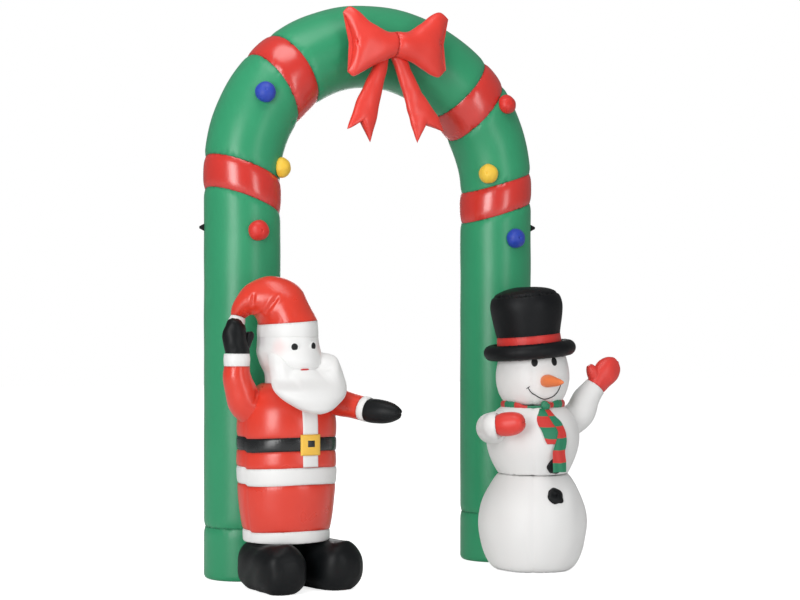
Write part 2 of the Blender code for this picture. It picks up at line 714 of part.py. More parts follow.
# The red hat flops over to the figure's right, and its white tip hangs behind the raised mitten.
HAT = (
    (0.001, -0.007, BRIM_TOP + GAP / 2, 0.1112, 0.1346, HAT_SLOPE),
    (-0.009, -0.006, 1.0625, 0.1062, 0.1285, 11.0),
    (-0.025, -0.003, 1.095, 0.1032, 0.1220, 19.3),
    (-0.051, 0.002, 1.132, 0.1029, 0.1080, 38.0),
    (-0.101, 0.012, 1.1466, 0.0863, 0.0860, 62.5),
    (-0.143, 0.024, 1.132, 0.0620, 0.0640, 90.0),
    (-0.171, 0.036, 1.104, 0.0442, 0.0460, 121.0),
    (-0.183, 0.046, 1.0712, 0.0323, 0.0330, 156.5),
    (-0.185, 0.050, 1.0616, 0.0286, 0.0280, 163.5),
)
boolean(piece("figure_hat", leaning_form("figure_hat", HAT, BODY_SIDES), FIGURE, RED), arch_space)
DROP = Vector((-0.284, 0.0, -0.9588)).normalized()
TIP = []
for along, wide in ((GAP, 0.0286), (0.014, 0.0325), (0.030, 0.033), (0.046, 0.027), (0.056, 0.016), (0.061, 0.006)):
    TIP.append((*(Vector(HAT[-1][:3]) + DROP * along), wide, wide, 1.0))
boolean(piece("figure_hat_tip", soft_form("figure_hat_tip", TIP, 16), FIGURE, WHITE), arch_space)

# Sleeves, cuffs and mittens: one arm waves, the other is held out. Rows are x, y, z, radius.
WAVE = (
    (-0.105, -0.002, 0.700, 0.072),
    (-0.150, -0.006, 0.708, 0.072),
    (-0.188, -0.014, 0.740, 0.066),
    (-0.210, -0.020, 0.790, 0.059),
    (-0.222, -0.024, 0.835, 0.0535),
    (-0.222, -0.024, 0.870 - GAP / 2, 0.0495),
)
WRIST = WAVE[-1][:2]
boolean(piece("figure_sleeve_left", tube("figure_sleeve_left", WAVE, 16), FIGURE, RED), chest_space)
cuff = [(*WRIST, 0.870 + GAP / 2, 0.0495), (*WRIST, 0.895, 0.0515), (*WRIST, 0.918 - GAP / 2, 0.0495)]
piece("figure_cuff_left", tube("figure_cuff_left", cuff, 16), FIGURE, WHITE)
PALM = (
    (*WRIST, 0.918 + GAP / 2, 0.0480, 0.0420, 1.0),
    (*WRIST, 0.934, 0.0490, 0.0425, 1.0),
    (-0.228, WRIST[1], 0.965, 0.0485, 0.0412, 1.0),
    (-0.230, WRIST[1], 0.988, 0.0479, 0.0405, 1.0),
    (-0.231, WRIST[1], 1.011, 0.0439, 0.0373, 1.0),
    (-0.2317, WRIST[1], 1.031, 0.0365, 0.0310, 1.0),
    (-0.229, WRIST[1], 1.046, 0.0248, 0.0210, 1.0),
    (-0.228, WRIST[1], 1.054, 0.0110, 0.0110, 1.0),
)
THUMB = (
    (-0.194, WRIST[1], 0.938, 0.0210, 0.0240, 1.0),
    (-0.179, WRIST[1], 0.965, 0.0205, 0.0240, 1.0),
    (-0.1715, WRIST[1], 0.985, 0.0185, 0.0215, 1.0),
    (-0.169, WRIST[1], 0.998, 0.0150, 0.0170, 1.0),
    (-0.1685, WRIST[1], 1.004, 0.0080, 0.0100, 1.0),
)


def mitten(name, palm, thumb, parent, colour):
    """A mitten whose thumb is joined to its palm."""
    part = piece(name, soft_form(name, palm, 16), parent, colour)
    if thumb:
        thumb_form = cutter(name + "_thumb", soft_form(name + "_thumb", thumb, 12), parent)
        boolean(part, thumb_form, operation="UNION")
    return part


mitten("figure_mitten_left", PALM, THUMB, FIGURE, BLACK)

# The held-out arm starts in the chest and points forward and aside; its hand levels out.
ARM_WAY = Vector((0.4746, -0.8753, -0.190)).normalized()
HAND_WAY = Vector((0.4746, -0.8753, -0.065)).normalized()
CUFF_END = Vector((0.2134, -0.2390, 0.7065))
HAND_START = CUFF_END + ARM_WAY * 0.030


def on_line(start, way, rows):
    """Rows of distance from start and radius, as sections."""
    return [(*(start + way * along), radius, radius, 1.0) for along, radius in rows]


beard_space = cutter("beard_space", soft_form("beard_space", BEARD, BODY_SIDES, grow=GAP, level=len(BEARD)), FIGURE)
sleeve = piece("figure_sleeve_right", soft_form("figure_sleeve_right", on_line(
    CUFF_END, ARM_WAY, ((-0.215, 0.058), (-0.140, 0.054), (-0.070, 0.0500), (-GAP / 2, 0.0466))), 16), FIGURE, RED)
boolean(sleeve, chest_space, beard_space)
piece("figure_cuff_right", soft_form("figure_cuff_right", on_line(
    CUFF_END, ARM_WAY, ((GAP / 2, 0.0466), (0.015, 0.0490), (0.030 - GAP / 2, 0.0462))), 16), FIGURE, WHITE)
palm = on_line(HAND_START, ARM_WAY, ((GAP / 2, 0.0455), (0.016, 0.0468)))
palm += on_line(HAND_START + ARM_WAY * 0.016, HAND_WAY, ((0.019, 0.0471), (0.044, 0.0456), (0.066, 0.0425),
                                                          (0.092, 0.0353), (0.118, 0.0228), (0.126, 0.0152)))
mitten("figure_mitten_right", palm, None, FIGURE, BLACK)


# The snowman: three turned balls on top of each other. Rows are radius, height, from top to bottom.

SNOWMAN = stand("snowman", (SNOWMAN_X, SNOWMAN_Y, 0))
TURNED_SIDES = 24
WAIST, NECK = 0.407, 0.700
BASE_BALL = (
    (0.149, WAIST - GAP / 2), (0.166, 0.385), (0.187, 0.350), (0.208, 0.308), (0.223, 0.260),
    (0.230, 0.205), (0.228, 0.150), (0.217, 0.095), (0.198, 0.048), (0.176, 0.017), (0.150, 0.0),
)
MIDDLE_BALL = (
    (0.116, NECK - GAP / 2), (0.143, 0.684), (0.166, 0.662), (0.185, 0.628), (0.196, 0.585),
    (0.196, 0.540), (0.186, 0.490), (0.169, 0.445), (0.149, WAIST + GAP / 2),
)
HEAD_BALL = (
    (0.108, 0.975), (0.124, 0.950), (0.138, 0.918), (0.149, 0.880), (0.1565, 0.835),
    (0.155, 0.790), (0.144, 0.748), (0.128, 0.718), (0.113, NECK + GAP / 2),
)


def turned_piece(name, profile, colour, parent=SNOWMAN):
    return piece(name, turned(name, lids(profile), TURNED_SIDES), parent, colour)


def turned_space(name, profile, low=0.0, high=0.0):
    """A turned cutter, grown by the gap, and longer by low and high at its ends."""
    rows = [(r + GAP, z) for r, z in profile]
    if high:
        rows = [(rows[0][0], rows[0][1] + high)] + rows
    if low:
        rows = rows + [(rows[-1][0], rows[-1][1] - low)]
    return cutter(name, turned(name, lids(rows), TURNED_SIDES), SNOWMAN)


base = turned_piece("snowman_base", BASE_BALL, WHITE)
middle = turned_piece("snowman_middle", MIDDLE_BALL, WHITE)
head = turned_piece("snowman_head", HEAD_BALL, WHITE)
boolean(base, arch_space)
boolean(middle, arch_space)
boolean(head, arch_space)
middle_space = turned_space("middle_space", MIDDLE_BALL)
base_space = turned_space("base_space", BASE_BALL)
head_ball_space = turned_space("head_ball_space", HEAD_BALL, low=0.004)

# The hat leans to one side; its brim is a stuffed ring round the head and the band.
HAT_LEAN = math.radians(-5.5)
HAT_SEAT = (-0.012, 0.0, 0.930)
HAT_STAND = stand("snowman_hat", HAT_SEAT, SNOWMAN, (0, HAT_LEAN, 0))
BRIM_RADIUS, BRIM_THICK = 0.163, 0.0325
BAND_HEIGHT, BAND_RADIUS = 0.064, 0.134
above = cutter("hat_seat", box("hat_seat", (-0.3, -0.3, 0.0), (0.3, 0.3, 0.2)), HAT_STAND)
boolean(head, above)
BAND = ((BAND_RADIUS + 0.001, BAND_HEIGHT - GAP / 2), (BAND_RADIUS + 0.0025, BAND_HEIGHT / 2), (BAND_RADIUS, GAP))
CROWN_TOP = (
    (0.030, 0.269), (0.075, 0.265), (0.110, 0.254), (0.136, 0.235), (0.150, 0.208), (0.1525, 0.180),
    (0.148, 0.140), (0.142, 0.100), (0.136, BAND_HEIGHT + GAP / 2),
)
turned_piece("snowman_hat_band", BAND, RED, HAT_STAND)
hat_top = turned_piece("snowman_hat_crown", CROWN_TOP, BLACK, HAT_STAND)
boolean(hat_top, arch_space)
bpy.ops.mesh.primitive_torus_add(major_radius=BRIM_RADIUS, minor_radius=BRIM_THICK,
                                 major_segments=TURNED_SIDES, minor_segments=10)
ring = bpy.context.object
ring_mesh = ring.data
bpy.data.objects.remove(ring, do_unlink=True)
brim = piece("snowman_hat_brim", ring_mesh, HAT_STAND, BLACK)
band_rows = [(BAND_RADIUS + 0.0025 + GAP, z) for z in (BAND_HEIGHT + 0.02, -0.001)]
band_space = cutter("band_space", turned("band_space", lids(band_rows), TURNED_SIDES), HAT_STAND)
boolean(brim, band_space, head_ball_space, arch_space)

# The carrot nose points forward.
NOSE_X, NOSE_Z, NOSE_LENGTH, NOSE_RADIUS = -0.034, 0.803, 0.150, 0.027
NOSE = (
    (0.0035, NOSE_LENGTH), (0.008, 0.140), (0.014, 0.118), (0.020, 0.090), (0.025, 0.062),
    (NOSE_RADIUS, 0.040), (0.024, 0.018), (0.018, 0.0),
)
nose = piece("snowman_nose", turned("snowman_nose", lids(NOSE), 16), SNOWMAN, ORANGE,
             (NOSE_X, -0.127, NOSE_Z), (math.radians(92), 0, 0))
boolean(nose, head_ball_space)

# The scarf: a collar in the neck, and a tail that hangs over the front of the middle ball.
COLLAR_RADIUS, COLLAR_THICK, COLLAR_HALF = 0.1265, 0.0105, 0.0175
collar_rows = []
for step in range(8):
    angle = math.radians(45 * step)
    collar_rows.append((COLLAR_RADIUS + COLLAR_THICK * math.sin(angle),
                        NECK + COLLAR_HALF * math.cos(angle)))
collar_rows.append(collar_rows[0])
collar = piece("snowman_scarf_collar", turned("snowman_scarf_collar", collar_rows, TURNED_SIDES),
               SNOWMAN, GREEN)
boolean(collar, head_ball_space, middle_space)

SCARF_THICK = 0.005
LAID_FROM, HANG_RADIUS = 0.585, 0.2065  # the tail lies on the ball above this height and hangs below it
# Height, then the left and right edge across the front.
ScarfRow = namedtuple("ScarfRow", "z left right")
SCARF = (
    ScarfRow(0.687, -0.052, -0.015),
    ScarfRow(0.660, -0.076, -0.006),
    ScarfRow(0.6275, -0.0855, 0.018),
    ScarfRow(0.594, -0.077, 0.0284),
    ScarfRow(0.557, -0.0645, 0.0345),
    ScarfRow(0.541, -0.0566, 0.034),
    ScarfRow(0.535, -0.010, 0.033),
    ScarfRow(0.517, -0.0035, 0.027),
    ScarfRow(0.508, -0.034, 0.025),
    ScarfRow(0.465, -0.034, 0.031),
    ScarfRow(0.424, -0.033, 0.031),
)
SCARF_COLUMNS = 4


def scarf_skin(shape):
    rings = []
    for row in SCARF:
        hang = HANG_RADIUS if row.z < LAID_FROM else at_height(MIDDLE_BALL, row.z) + SCARF_THICK
        ring = []
        for radius, columns in ((hang - SCARF_THICK, range(SCARF_COLUMNS + 1)),
                                (hang, range(SCARF_COLUMNS, -1, -1))):
            for i in columns:
                x = row.left + (row.right - row.left) * i / SCARF_COLUMNS
                ring.append(Vector((x, -math.sqrt(radius * radius - x * x), row.z)))
        rings.append(ring)
    closed_skin(shape, rings)


scarf = piece("snowman_scarf_tail", mesh_of("snowman_scarf_tail", scarf_skin), SNOWMAN, RED)
boolean(scarf, middle_space)

# Two round buttons on the front.
BUTTON_RADIUS, BUTTON_HEIGHT = 0.037, 0.016
for name, x, z, profile, slope, space in (
    ("snowman_button_upper", 0.0, 0.449, MIDDLE_BALL, 20, middle_space),
    ("snowman_button_lower", -0.018, 0.325, BASE_BALL, -26, base_space),
):
    place = (x, -at_height(profile, z) + 0.002, z)
    turn = (math.radians(90 + slope), 0, 0)
    boolean(piece(name, ball(name, BUTTON_RADIUS, BUTTON_HEIGHT, 6, 14), SNOWMAN, BLACK, place, turn), space)

# The arms: one bent in front of the body, one waving. Rows are x, y, z, radius.
BENT = (
    (-0.100, 0.004, 0.612, 0.066),
    (-0.160, -0.004, 0.608, 0.067),
    (-0.212, -0.022, 0.605, 0.066),
    (-0.243, -0.058, 0.608, 0.062),
    (-0.259, -0.100, 0.616, 0.056),
    (-0.248, -0.118, 0.619, 0.050),
)
WAVING = (
    (0.100, 0.004, 0.600, 0.068),
    (0.160, -0.006, 0.614, 0.068),
    (0.222, -0.018, 0.652, 0.067),
    (0.258, -0.028, 0.720, 0.058),
    (0.298, -0.0367, 0.7705, 0.048),
)
for name, rows in (("snowman_arm_left", BENT), ("snowman_arm_right", WAVING)):
    boolean(piece(name, tube(name, rows, 16), SNOWMAN, WHITE), middle_space, arch_space)


def mitten_rows(arm, shape, bend=(0, 0, 0)):
    """Sections of a mitten that carries on from an arm; bend leads its tip aside."""
    end, before = Vector(arm[-1][:3]), Vector(arm[-2][:3])
    direction = (end - before).normalized()
    rows = []
    straight, length = shape[1][0], shape[-1][0]
    for along, wide, deep in shape:
        aside = max(0.0, (along - straight) / (length - straight)) ** 2
        point = end + direction * (along + GAP) + Vector(bend) * aside
        rows.append((*point, wide, deep, 1.0))
    return rows


tucked = mitten_rows(BENT, ((0.0, 0.040, 0.042), (0.018, 0.047, 0.047), (0.050, 0.049, 0.048),
                            (0.080, 0.044, 0.044), (0.100, 0.032, 0.034), (0.108, 0.014, 0.016)),
                     (0.012, -0.004, 0.004))
mitten("snowman_mitten_left", tucked, None, SNOWMAN, RED)
open_palm = mitten_rows(WAVING, ((0.0, 0.043, 0.038), (0.030, 0.050, 0.040), (0.068, 0.057, 0.042),
                                 (0.100, 0.055, 0.038), (0.128, 0.042, 0.027), (0.144, 0.018, 0.012)),
                        (0.006, -0.002, 0.004))
THUMB_ROWS = (
    (0.306, -0.041, 0.800, 0.030, 0.030, 1.0),
    (0.290, -0.040, 0.826, 0.028, 0.028, 1.0),
    (0.279, -0.039, 0.846, 0.023, 0.024, 1.0),
    (0.272, -0.038, 0.858, 0.013, 0.014, 1.0),
)
mitten("snowman_mitten_right", open_palm, THUMB_ROWS, SNOWMAN, RED)


# The whole object is centred over its origin, with its feet on the floor.

bpy.context.view_layer.update()
graph = bpy.context.evaluated_depsgraph_get()
corners = []
for part in PARTS.objects:
    drawn = part.evaluated_get(graph)
    corners += [part.matrix_world @ vert.co for vert in drawn.data.vertices]
middle_x = (min(c.x for c in corners) + max(c.x for c in corners)) / 2
middle_y = (min(c.y for c in corners) + max(c.y for c in corners)) / 2
for top in (FLOOR, FIGURE, SNOWMAN):
    top.location.x -= middle_x
    top.location.y -= middle_y
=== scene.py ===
"""Looks for the inflatable arch: fine cloth panels, folds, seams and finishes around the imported
part. Metres, +Z up, the arch in the XZ plane and its front towards -Y."""

import math

import bpy
import numpy as np
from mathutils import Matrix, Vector


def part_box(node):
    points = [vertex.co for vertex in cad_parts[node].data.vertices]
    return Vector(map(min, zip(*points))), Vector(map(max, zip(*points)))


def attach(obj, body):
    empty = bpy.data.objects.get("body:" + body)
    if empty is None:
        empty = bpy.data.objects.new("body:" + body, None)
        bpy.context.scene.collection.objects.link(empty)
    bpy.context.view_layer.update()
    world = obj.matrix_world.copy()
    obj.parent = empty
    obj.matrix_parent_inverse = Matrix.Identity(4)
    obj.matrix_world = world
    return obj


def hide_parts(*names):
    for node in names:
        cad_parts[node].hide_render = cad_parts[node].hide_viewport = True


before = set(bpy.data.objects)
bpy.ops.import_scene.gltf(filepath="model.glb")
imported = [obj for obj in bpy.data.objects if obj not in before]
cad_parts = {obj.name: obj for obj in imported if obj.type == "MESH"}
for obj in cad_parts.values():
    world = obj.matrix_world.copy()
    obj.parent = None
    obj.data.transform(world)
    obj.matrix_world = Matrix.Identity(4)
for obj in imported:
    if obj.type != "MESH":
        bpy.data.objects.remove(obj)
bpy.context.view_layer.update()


# Camera and studio: a level camera turned 28 degrees, two tall soft boxes at its sides, one above, a
# low one behind and a pale paper floor in a white room.

foot_low, foot_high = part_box("leg_base_left")
foot_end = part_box("leg_base_right")[1]
ARCH = np.array([(foot_low.x + foot_end.x) / 2, (foot_low.y + foot_high.y) / 2, 0.0])
CAMERA_PLACE, CAMERA_TURN = (-3.235, -6.083, 0.95), -28
LENS, SENSOR = 72.3, 36
PHOTO_WIDTH, SHIFT_RIGHT, SHIFT_UP = 800, 26, 45.4
AIM_HEIGHT = 1.1
# Name, place from the middle of the arch, width, height and power.
SOFT_BOXES = (
    ("left_box", (-7.2, -5.2, 2.6), 3.4, 5.4, 375),
    ("right_box", (0.8, -5.0, 1.5), 1.0, 2.6, 34),
    ("top_box", (-0.9, -1.4, 4.6), 2.4, 1.8, 42),
    ("rear_box", (2.4, 4.2, 2.2), 1.6, 2.4, 30),
)
ROOM_FILL, LESS_IN_GLOSS = 0.52, 0.28
PAPER_HALF, PAPER_BELOW = 30, 0.0006
PAPER_TONE, PAPER_ROUGH, PAPER_GLOW = 0.86, 0.9, 0.75


def stood(name, data):
    """An object for some data, put in the scene."""
    thing = bpy.data.objects.new(name, data)
    bpy.context.scene.collection.objects.link(thing)
    return thing


def wire(tree, kind, feeds=None, **settings):
    """Adds a node to a tree. feeds gives each socket a value or an output that drives it."""
    node = tree.nodes.new(kind)
    for name, value in settings.items():
        setattr(node, name, value)
    for socket, value in (feeds or {}).items():
        if isinstance(value, bpy.types.NodeSocket):
            tree.links.new(value, node.inputs[socket])
        else:
            node.inputs[socket].default_value = value
    return node


def maths(tree, how, *values):
    """The result of one Math node."""
    return wire(tree, "ShaderNodeMath", dict(enumerate(values)), operation=how).outputs[0]


camera = stood("camera", bpy.data.cameras.new("camera"))
bpy.context.scene.camera = camera
camera.location = tuple(ARCH + CAMERA_PLACE)
camera.rotation_euler = (math.radians(90), 0, math.radians(CAMERA_TURN))
camera.data.lens, camera.data.sensor_width = LENS, SENSOR
camera.data.shift_x, camera.data.shift_y = SHIFT_RIGHT / PHOTO_WIDTH, SHIFT_UP / PHOTO_WIDTH
bpy.context.scene.view_settings.view_transform = "Standard"

for name, offset, wide, tall, power in SOFT_BOXES:
    light = bpy.data.lights.new(name, "AREA")
    light.shape = "RECTANGLE"
    light.size, light.size_y = wide, tall
    light.energy = power
    stand = stood(name, light)
    stand.location = tuple(ARCH + offset)
    facing = Vector((ARCH[0], ARCH[1], AIM_HEIGHT)) - Vector(tuple(ARCH + offset))
    stand.rotation_euler = facing.to_track_quat("-Z", "Y").to_euler()
    stand.visible_camera = False

world = bpy.data.worlds.new("white_room")
bpy.context.scene.world = world
world.use_nodes = True
sky = world.node_tree
sky.nodes.clear()
ray = wire(sky, "ShaderNodeLightPath").outputs
strength = maths(sky, "MULTIPLY_ADD", ray["Is Glossy Ray"], -LESS_IN_GLOSS, ROOM_FILL)
fill = wire(sky, "ShaderNodeBackground", {"Strength": strength}).outputs[0]
seen = wire(sky, "ShaderNodeBackground", {"Color": (1, 1, 1, 1), "Strength": 1.0}).outputs[0]
mixed = wire(sky, "ShaderNodeMixShader", {0: ray["Is Camera Ray"], 1: fill, 2: seen}).outputs[0]
wire(sky, "ShaderNodeOutputWorld", {0: mixed})

floor_mesh = bpy.data.meshes.new("floor")
paper_corners = [(x * PAPER_HALF, y * PAPER_HALF, -PAPER_BELOW)
                 for x, y in ((-1, -1), (1, -1), (1, 1), (-1, 1))]
floor_mesh.from_pydata(paper_corners, [], [(0, 1, 2, 3)])
floor = stood("floor", floor_mesh)
paper = bpy.data.materials.new("studio_paper")
paper.use_nodes = True
paper_tree = paper.node_tree
paper_shader = paper_tree.nodes["Principled BSDF"].inputs
paper_shader["Base Color"].default_value = (PAPER_TONE, PAPER_TONE, PAPER_TONE, 1)
paper_shader["Roughness"].default_value = PAPER_ROUGH
paper_shader["Emission Color"].default_value = (1, 1, 1, 1)
paper_ray = wire(paper_tree, "ShaderNodeLightPath").outputs["Is Camera Ray"]
paper_tree.links.new(maths(paper_tree, "MULTIPLY", paper_ray, PAPER_GLOW), paper_shader["Emission Strength"])
floor_mesh.materials.append(paper)


# The arch: eleven panels of thin coated polyester, sewn end to end into one tube that a fan keeps
# full. Each seam draws the cloth in and gathers it in short puckers; the bend creases on its inside.

HALF_SPACING = 0.6135
LEG_RADIUS, CROWN_RADIUS = 0.157, 0.173
RISE, SPRING = 0.573, 1.654
FOOT_SEAM = 0.212
BAND_WIDTH, LOW_BAND_HEIGHT = 0.128, 1.608
GAP = 0.0003
TUBE_COLUMNS = 168
BACK_SEAM = math.radians(205)
# SEAM_SHADE_SHARPNESS sets how quickly the painted shade in a seam fades away from it.
SEAM_SHADE_SHARPNESS, PUCKER_STRETCH = 450.0, 9.0


def effect(name, draw, made, **inputs):
    """A shader node group whose one output is called made: draw(tree, given) returns it. An input
    without a value is a place."""
    tree = bpy.data.node_groups.new(name, "ShaderNodeTree")
    for label, value in inputs.items():
        kind = "Vector" if value is None else "Color" if isinstance(value, tuple) else "Float"
        socket = tree.interface.new_socket(name=label, in_out="INPUT", socket_type="NodeSocket" + kind)
        if value is not None:
            socket.default_value = value
    kind = "Color" if made == "Colour" else "Float"
    tree.interface.new_socket(name=made, in_out="OUTPUT", socket_type="NodeSocket" + kind)
    result = draw(tree, tree.nodes.new("NodeGroupInput").outputs)
    tree.links.new(result, tree.nodes.new("NodeGroupOutput").inputs[made])
    return tree


def used(tree, group, **feeds):
    """The result of one shared effect."""
    return wire(tree, "ShaderNodeGroup", feeds, node_tree=group).outputs[0]


def either(tree, share, first, second):
    """A mix of two colours."""
    return wire(tree, "ShaderNodeMix", {0: share, 6: first, 7: second}, data_type="RGBA").outputs[2]


def off_middle(tree, noise, amount):
    """A noise moved to lie about zero, times an amount."""
    return maths(tree, "MULTIPLY", maths(tree, "SUBTRACT", noise.outputs["Fac"], 0.5), amount)


def draw_weave(tree, given):
    """Plain weave: two rows of threads that cross, each lifted in turn."""
    split = wire(tree, "ShaderNodeSeparateXYZ", {0: given["Place"]}).outputs
    turns = maths(tree, "DIVIDE", math.pi, given["Thread"])
    warp, weft = (maths(tree, "SINE", maths(tree, "MULTIPLY", split[k], turns)) for k in (0, 1))
    return maths(tree, "MULTIPLY", maths(tree, "MULTIPLY", warp, weft), given["Depth"])


def draw_slack(tree, given):
    """Soft unevenness of thin cloth under low air pressure."""
    broad = wire(tree, "ShaderNodeTexNoise", {"Vector": given["Place"], "Scale": given["Scale"],
                                             "Detail": 3.0, "Roughness": 0.55, "Distortion": 0.4})
    return off_middle(tree, broad, given["Depth"])


def draw_gathers(tree, given):
    """Fine puckers that stand across a seam and die out away from it."""
    split = wire(tree, "ShaderNodeSeparateXYZ", {0: given["Place"]}).outputs
    across = maths(tree, "DIVIDE", split[0], given["Pitch"])
    along = maths(tree, "DIVIDE", split[1], maths(tree, "MULTIPLY", given["Pitch"], PUCKER_STRETCH))
    place = wire(tree, "ShaderNodeCombineXYZ", {0: across, 1: along}).outputs[0]
    rows = wire(tree, "ShaderNodeTexNoise", {"Vector": place, "Scale": 1.0, "Detail": 1.0})
    away = maths(tree, "DIVIDE", given["Seam"], given["Reach"])
    fade = maths(tree, "EXPONENT", maths(tree, "MULTIPLY", away, -1.0))
    return maths(tree, "MULTIPLY", off_middle(tree, rows, fade), given["Depth"])


def draw_dye_and_seam_shade(tree, given):
    """Cloth colour that varies a little from place to place, with painted shade that darkens it down in a
    seam.
    """
    patches = wire(tree, "ShaderNodeTexNoise", {"Vector": given["Place"], "Scale": 5.0, "Detail": 4.0})
    shift = off_middle(tree, patches, given["Amount"])
    # Painted shade: the colour is darkened close to a seam, where its groove lies in shade.
    groove = maths(tree, "EXPONENT", maths(tree, "MULTIPLY", given["Seam"], -SEAM_SHADE_SHARPNESS))
    seam_shade = maths(tree, "MULTIPLY", groove, given["Groove"])
    shade = maths(tree, "SUBTRACT", maths(tree, "ADD", shift, 1.0), seam_shade)
    return wire(tree, "ShaderNodeHueSaturation", {"Color": given["Colour"], "Value": shade}).outputs[0]


def draw_polish(tree, given):
    """Gloss of the coating, rubbed duller in patches."""
    rubbed = wire(tree, "ShaderNodeTexNoise", {"Vector": given["Place"], "Scale": 11.0, "Detail": 5.0})
    return maths(tree, "ADD", given["Gloss"], off_middle(tree, rubbed, given["Spread"]))


WEAVE = effect("plain_weave", draw_weave, "Height", Place=None, Thread=0.0007, Depth=0.000008)
SLACK = effect("slack_cloth", draw_slack, "Height", Place=None, Scale=14.0, Depth=0.0004)
GATHERS = effect("seam_gathers", draw_gathers, "Height", Place=None, Seam=1.0, Pitch=0.007, Reach=0.016,
                 Depth=0.0016)
DYE_AND_SEAM_SHADE = effect("uneven_dye_and_seam_shade", draw_dye_and_seam_shade, "Colour", Place=None, Seam=1.0, Colour=(1, 1, 1, 1), Amount=0.1,
             Groove=0.3)
POLISH = effect("rubbed_polish", draw_polish, "Roughness", Place=None, Gloss=0.4, Spread=0.1)


def linear(*tone):
    """A colour given as 0 to 255 on a screen, as linear light."""
    values = [part / 255 for part in tone]
    return tuple(v / 12.92 if v <= 0.04045 else ((v + 0.055) / 1.055) ** 2.4 for v in values) + (1.0,)


def coated_cloth(name, colour, gloss=0.40, slack=0.0006, gather=0.0016, amount=0.10, sheen=0.04,
                 shine=0.5, groove=0.30, paint=None):
    """Thin woven cloth with a soft coating, its colour darkened in the seams by painted shade as strong as
    groove. paint, if given, turns the colour output into another.
    """
    material = bpy.data.materials.new(name)
    material.use_nodes = True
    tree = material.node_tree
    shader = tree.nodes["Principled BSDF"].inputs
    place = wire(tree, "ShaderNodeTexCoord").outputs["Object"]
    cut = wire(tree, "ShaderNodeUVMap", uv_map="cloth").outputs[0]
    seam = wire(tree, "ShaderNodeAttribute", attribute_name="seam").outputs["Fac"]
    dye = wire(tree, "ShaderNodeRGB")
    dye.outputs[0].default_value = colour
    tone = paint(tree, place, cut, dye.outputs[0]) if paint else dye.outputs[0]
    # The base colour carries random dye patches and painted shade in the seams.
    tone = used(tree, DYE_AND_SEAM_SHADE, Place=place, Seam=seam, Colour=tone, Amount=amount, Groove=groove)
    tree.links.new(tone, shader["Base Color"])
    tree.links.new(used(tree, POLISH, Place=place, Gloss=gloss), shader["Roughness"])
    heights = maths(tree, "ADD", used(tree, WEAVE, Place=cut), used(tree, SLACK, Place=place, Depth=slack))
    heights = maths(tree, "ADD", heights, used(tree, GATHERS, Place=cut, Seam=seam, Depth=gather))
    bump = wire(tree, "ShaderNodeBump", {"Height": heights, "Strength": 1.0, "Distance": 1.0})
    tree.links.new(bump.outputs[0], shader["Normal"])
    shader["Sheen Weight"].default_value = sheen
    shader["Sheen Roughness"].default_value = 0.5
    shader["Specular IOR Level"].default_value = shine
    return material


GREEN_CLOTH = coated_cloth("green_cloth", linear(46, 150, 104), gloss=0.36, shine=0.5)
RED_CLOTH = coated_cloth("red_cloth", linear(214, 46, 38), gloss=0.42)
RED_BAND_CLOTH = coated_cloth("red_band_cloth", linear(210, 46, 36), gloss=0.25, slack=0.0004, shine=1.0)


def unit(way):
    """A direction, at length one."""
    return way / np.linalg.norm(way)


def units(ways):
    """Each row of a table of directions, at length one."""
    return ways / np.linalg.norm(ways, axis=1, keepdims=True)


def run_along(line):
    """Running length along a line of points."""
    return np.concatenate([[0], np.cumsum(np.linalg.norm(np.diff(line, axis=0), axis=1))])


def round_angles(columns, start=90.0):
    """Even angles all the way round, in radians."""
    return np.radians(start + np.arange(columns) * 360 / columns)


def lengths(points, axis, closed=False):
    """Running length between points along one axis of a grid."""
    ends = np.roll(points, -1, axis) if closed else np.take(points, range(1, points.shape[axis]), axis)
    starts = points if closed else np.take(points, range(points.shape[axis] - 1), axis)
    steps = np.linalg.norm(ends - starts, axis=2)
    zero = np.zeros_like(np.take(steps, [0], axis))
    return np.concatenate([zero, np.cumsum(steps, axis)], axis)


def outward(rings):
    """The outward direction at each point of a skin of closed rings."""
    round_it = np.roll(rings, -1, 1) - np.roll(rings, 1, 1)
    normal = np.cross(round_it, np.gradient(rings, axis=0))
    normal /= np.maximum(np.linalg.norm(normal, axis=2, keepdims=True), 1e-12)
    off = rings - rings.mean(1, keepdims=True)
    return normal * np.sign((off * normal).sum())


FOLD_RIM = 0.9


def pressed(rings, folds):
    """Presses folds into a skin. A fold runs from start to end with a half width and a depth; it is
    deepest at its start if sewn there, and otherwise in its middle."""
    move = np.zeros(rings.shape[:2])
    for start, end, wide, deep, sewn in folds:
        start, along = np.asarray(start, float), np.asarray(end, float) - np.asarray(start, float)
        off = rings - start
        t = np.clip(off @ along / (along @ along), 0, 1)
        away = np.linalg.norm(off - t[..., None] * along, axis=2) / wide
        strength = (1 - t) ** 1.5 if sewn else np.sin(math.pi * np.clip(t, 0.02, 0.98)) ** 0.7
        move -= deep * strength * (1 - FOLD_RIM * away ** 2) * np.exp(-away ** 2)
    return rings + outward(rings) * move[..., None]


def gathers(rings, row, inward, count, long, seed, wide=0.008, deep=0.0022):
    """Folds of uneven size that start in the seam at one row of a skin and run inward from it: how
    many, how long, and their half width and depth."""
    dice = np.random.default_rng(seed)
    folds = []
    columns = rings.shape[1]
    for _ in range(count):
        column = int(dice.integers(columns))
        reach = long * dice.uniform(0.45, 1.25)
        line = rings[:, column][::1 if inward > 0 else -1]
        line = line[row if inward > 0 else rings.shape[0] - 1 - row:]
        far = np.array([np.interp(reach, run_along(line), line[:, k]) for k in range(3)])
        side = rings[row, (column + int(dice.integers(-3, 4))) % columns] - rings[row, column]
        size = wide * dice.uniform(0.6, 1.3)
        folds.append((line[0], far + side, size, deep * dice.uniform(0.3, 1.2), True))
    return folds


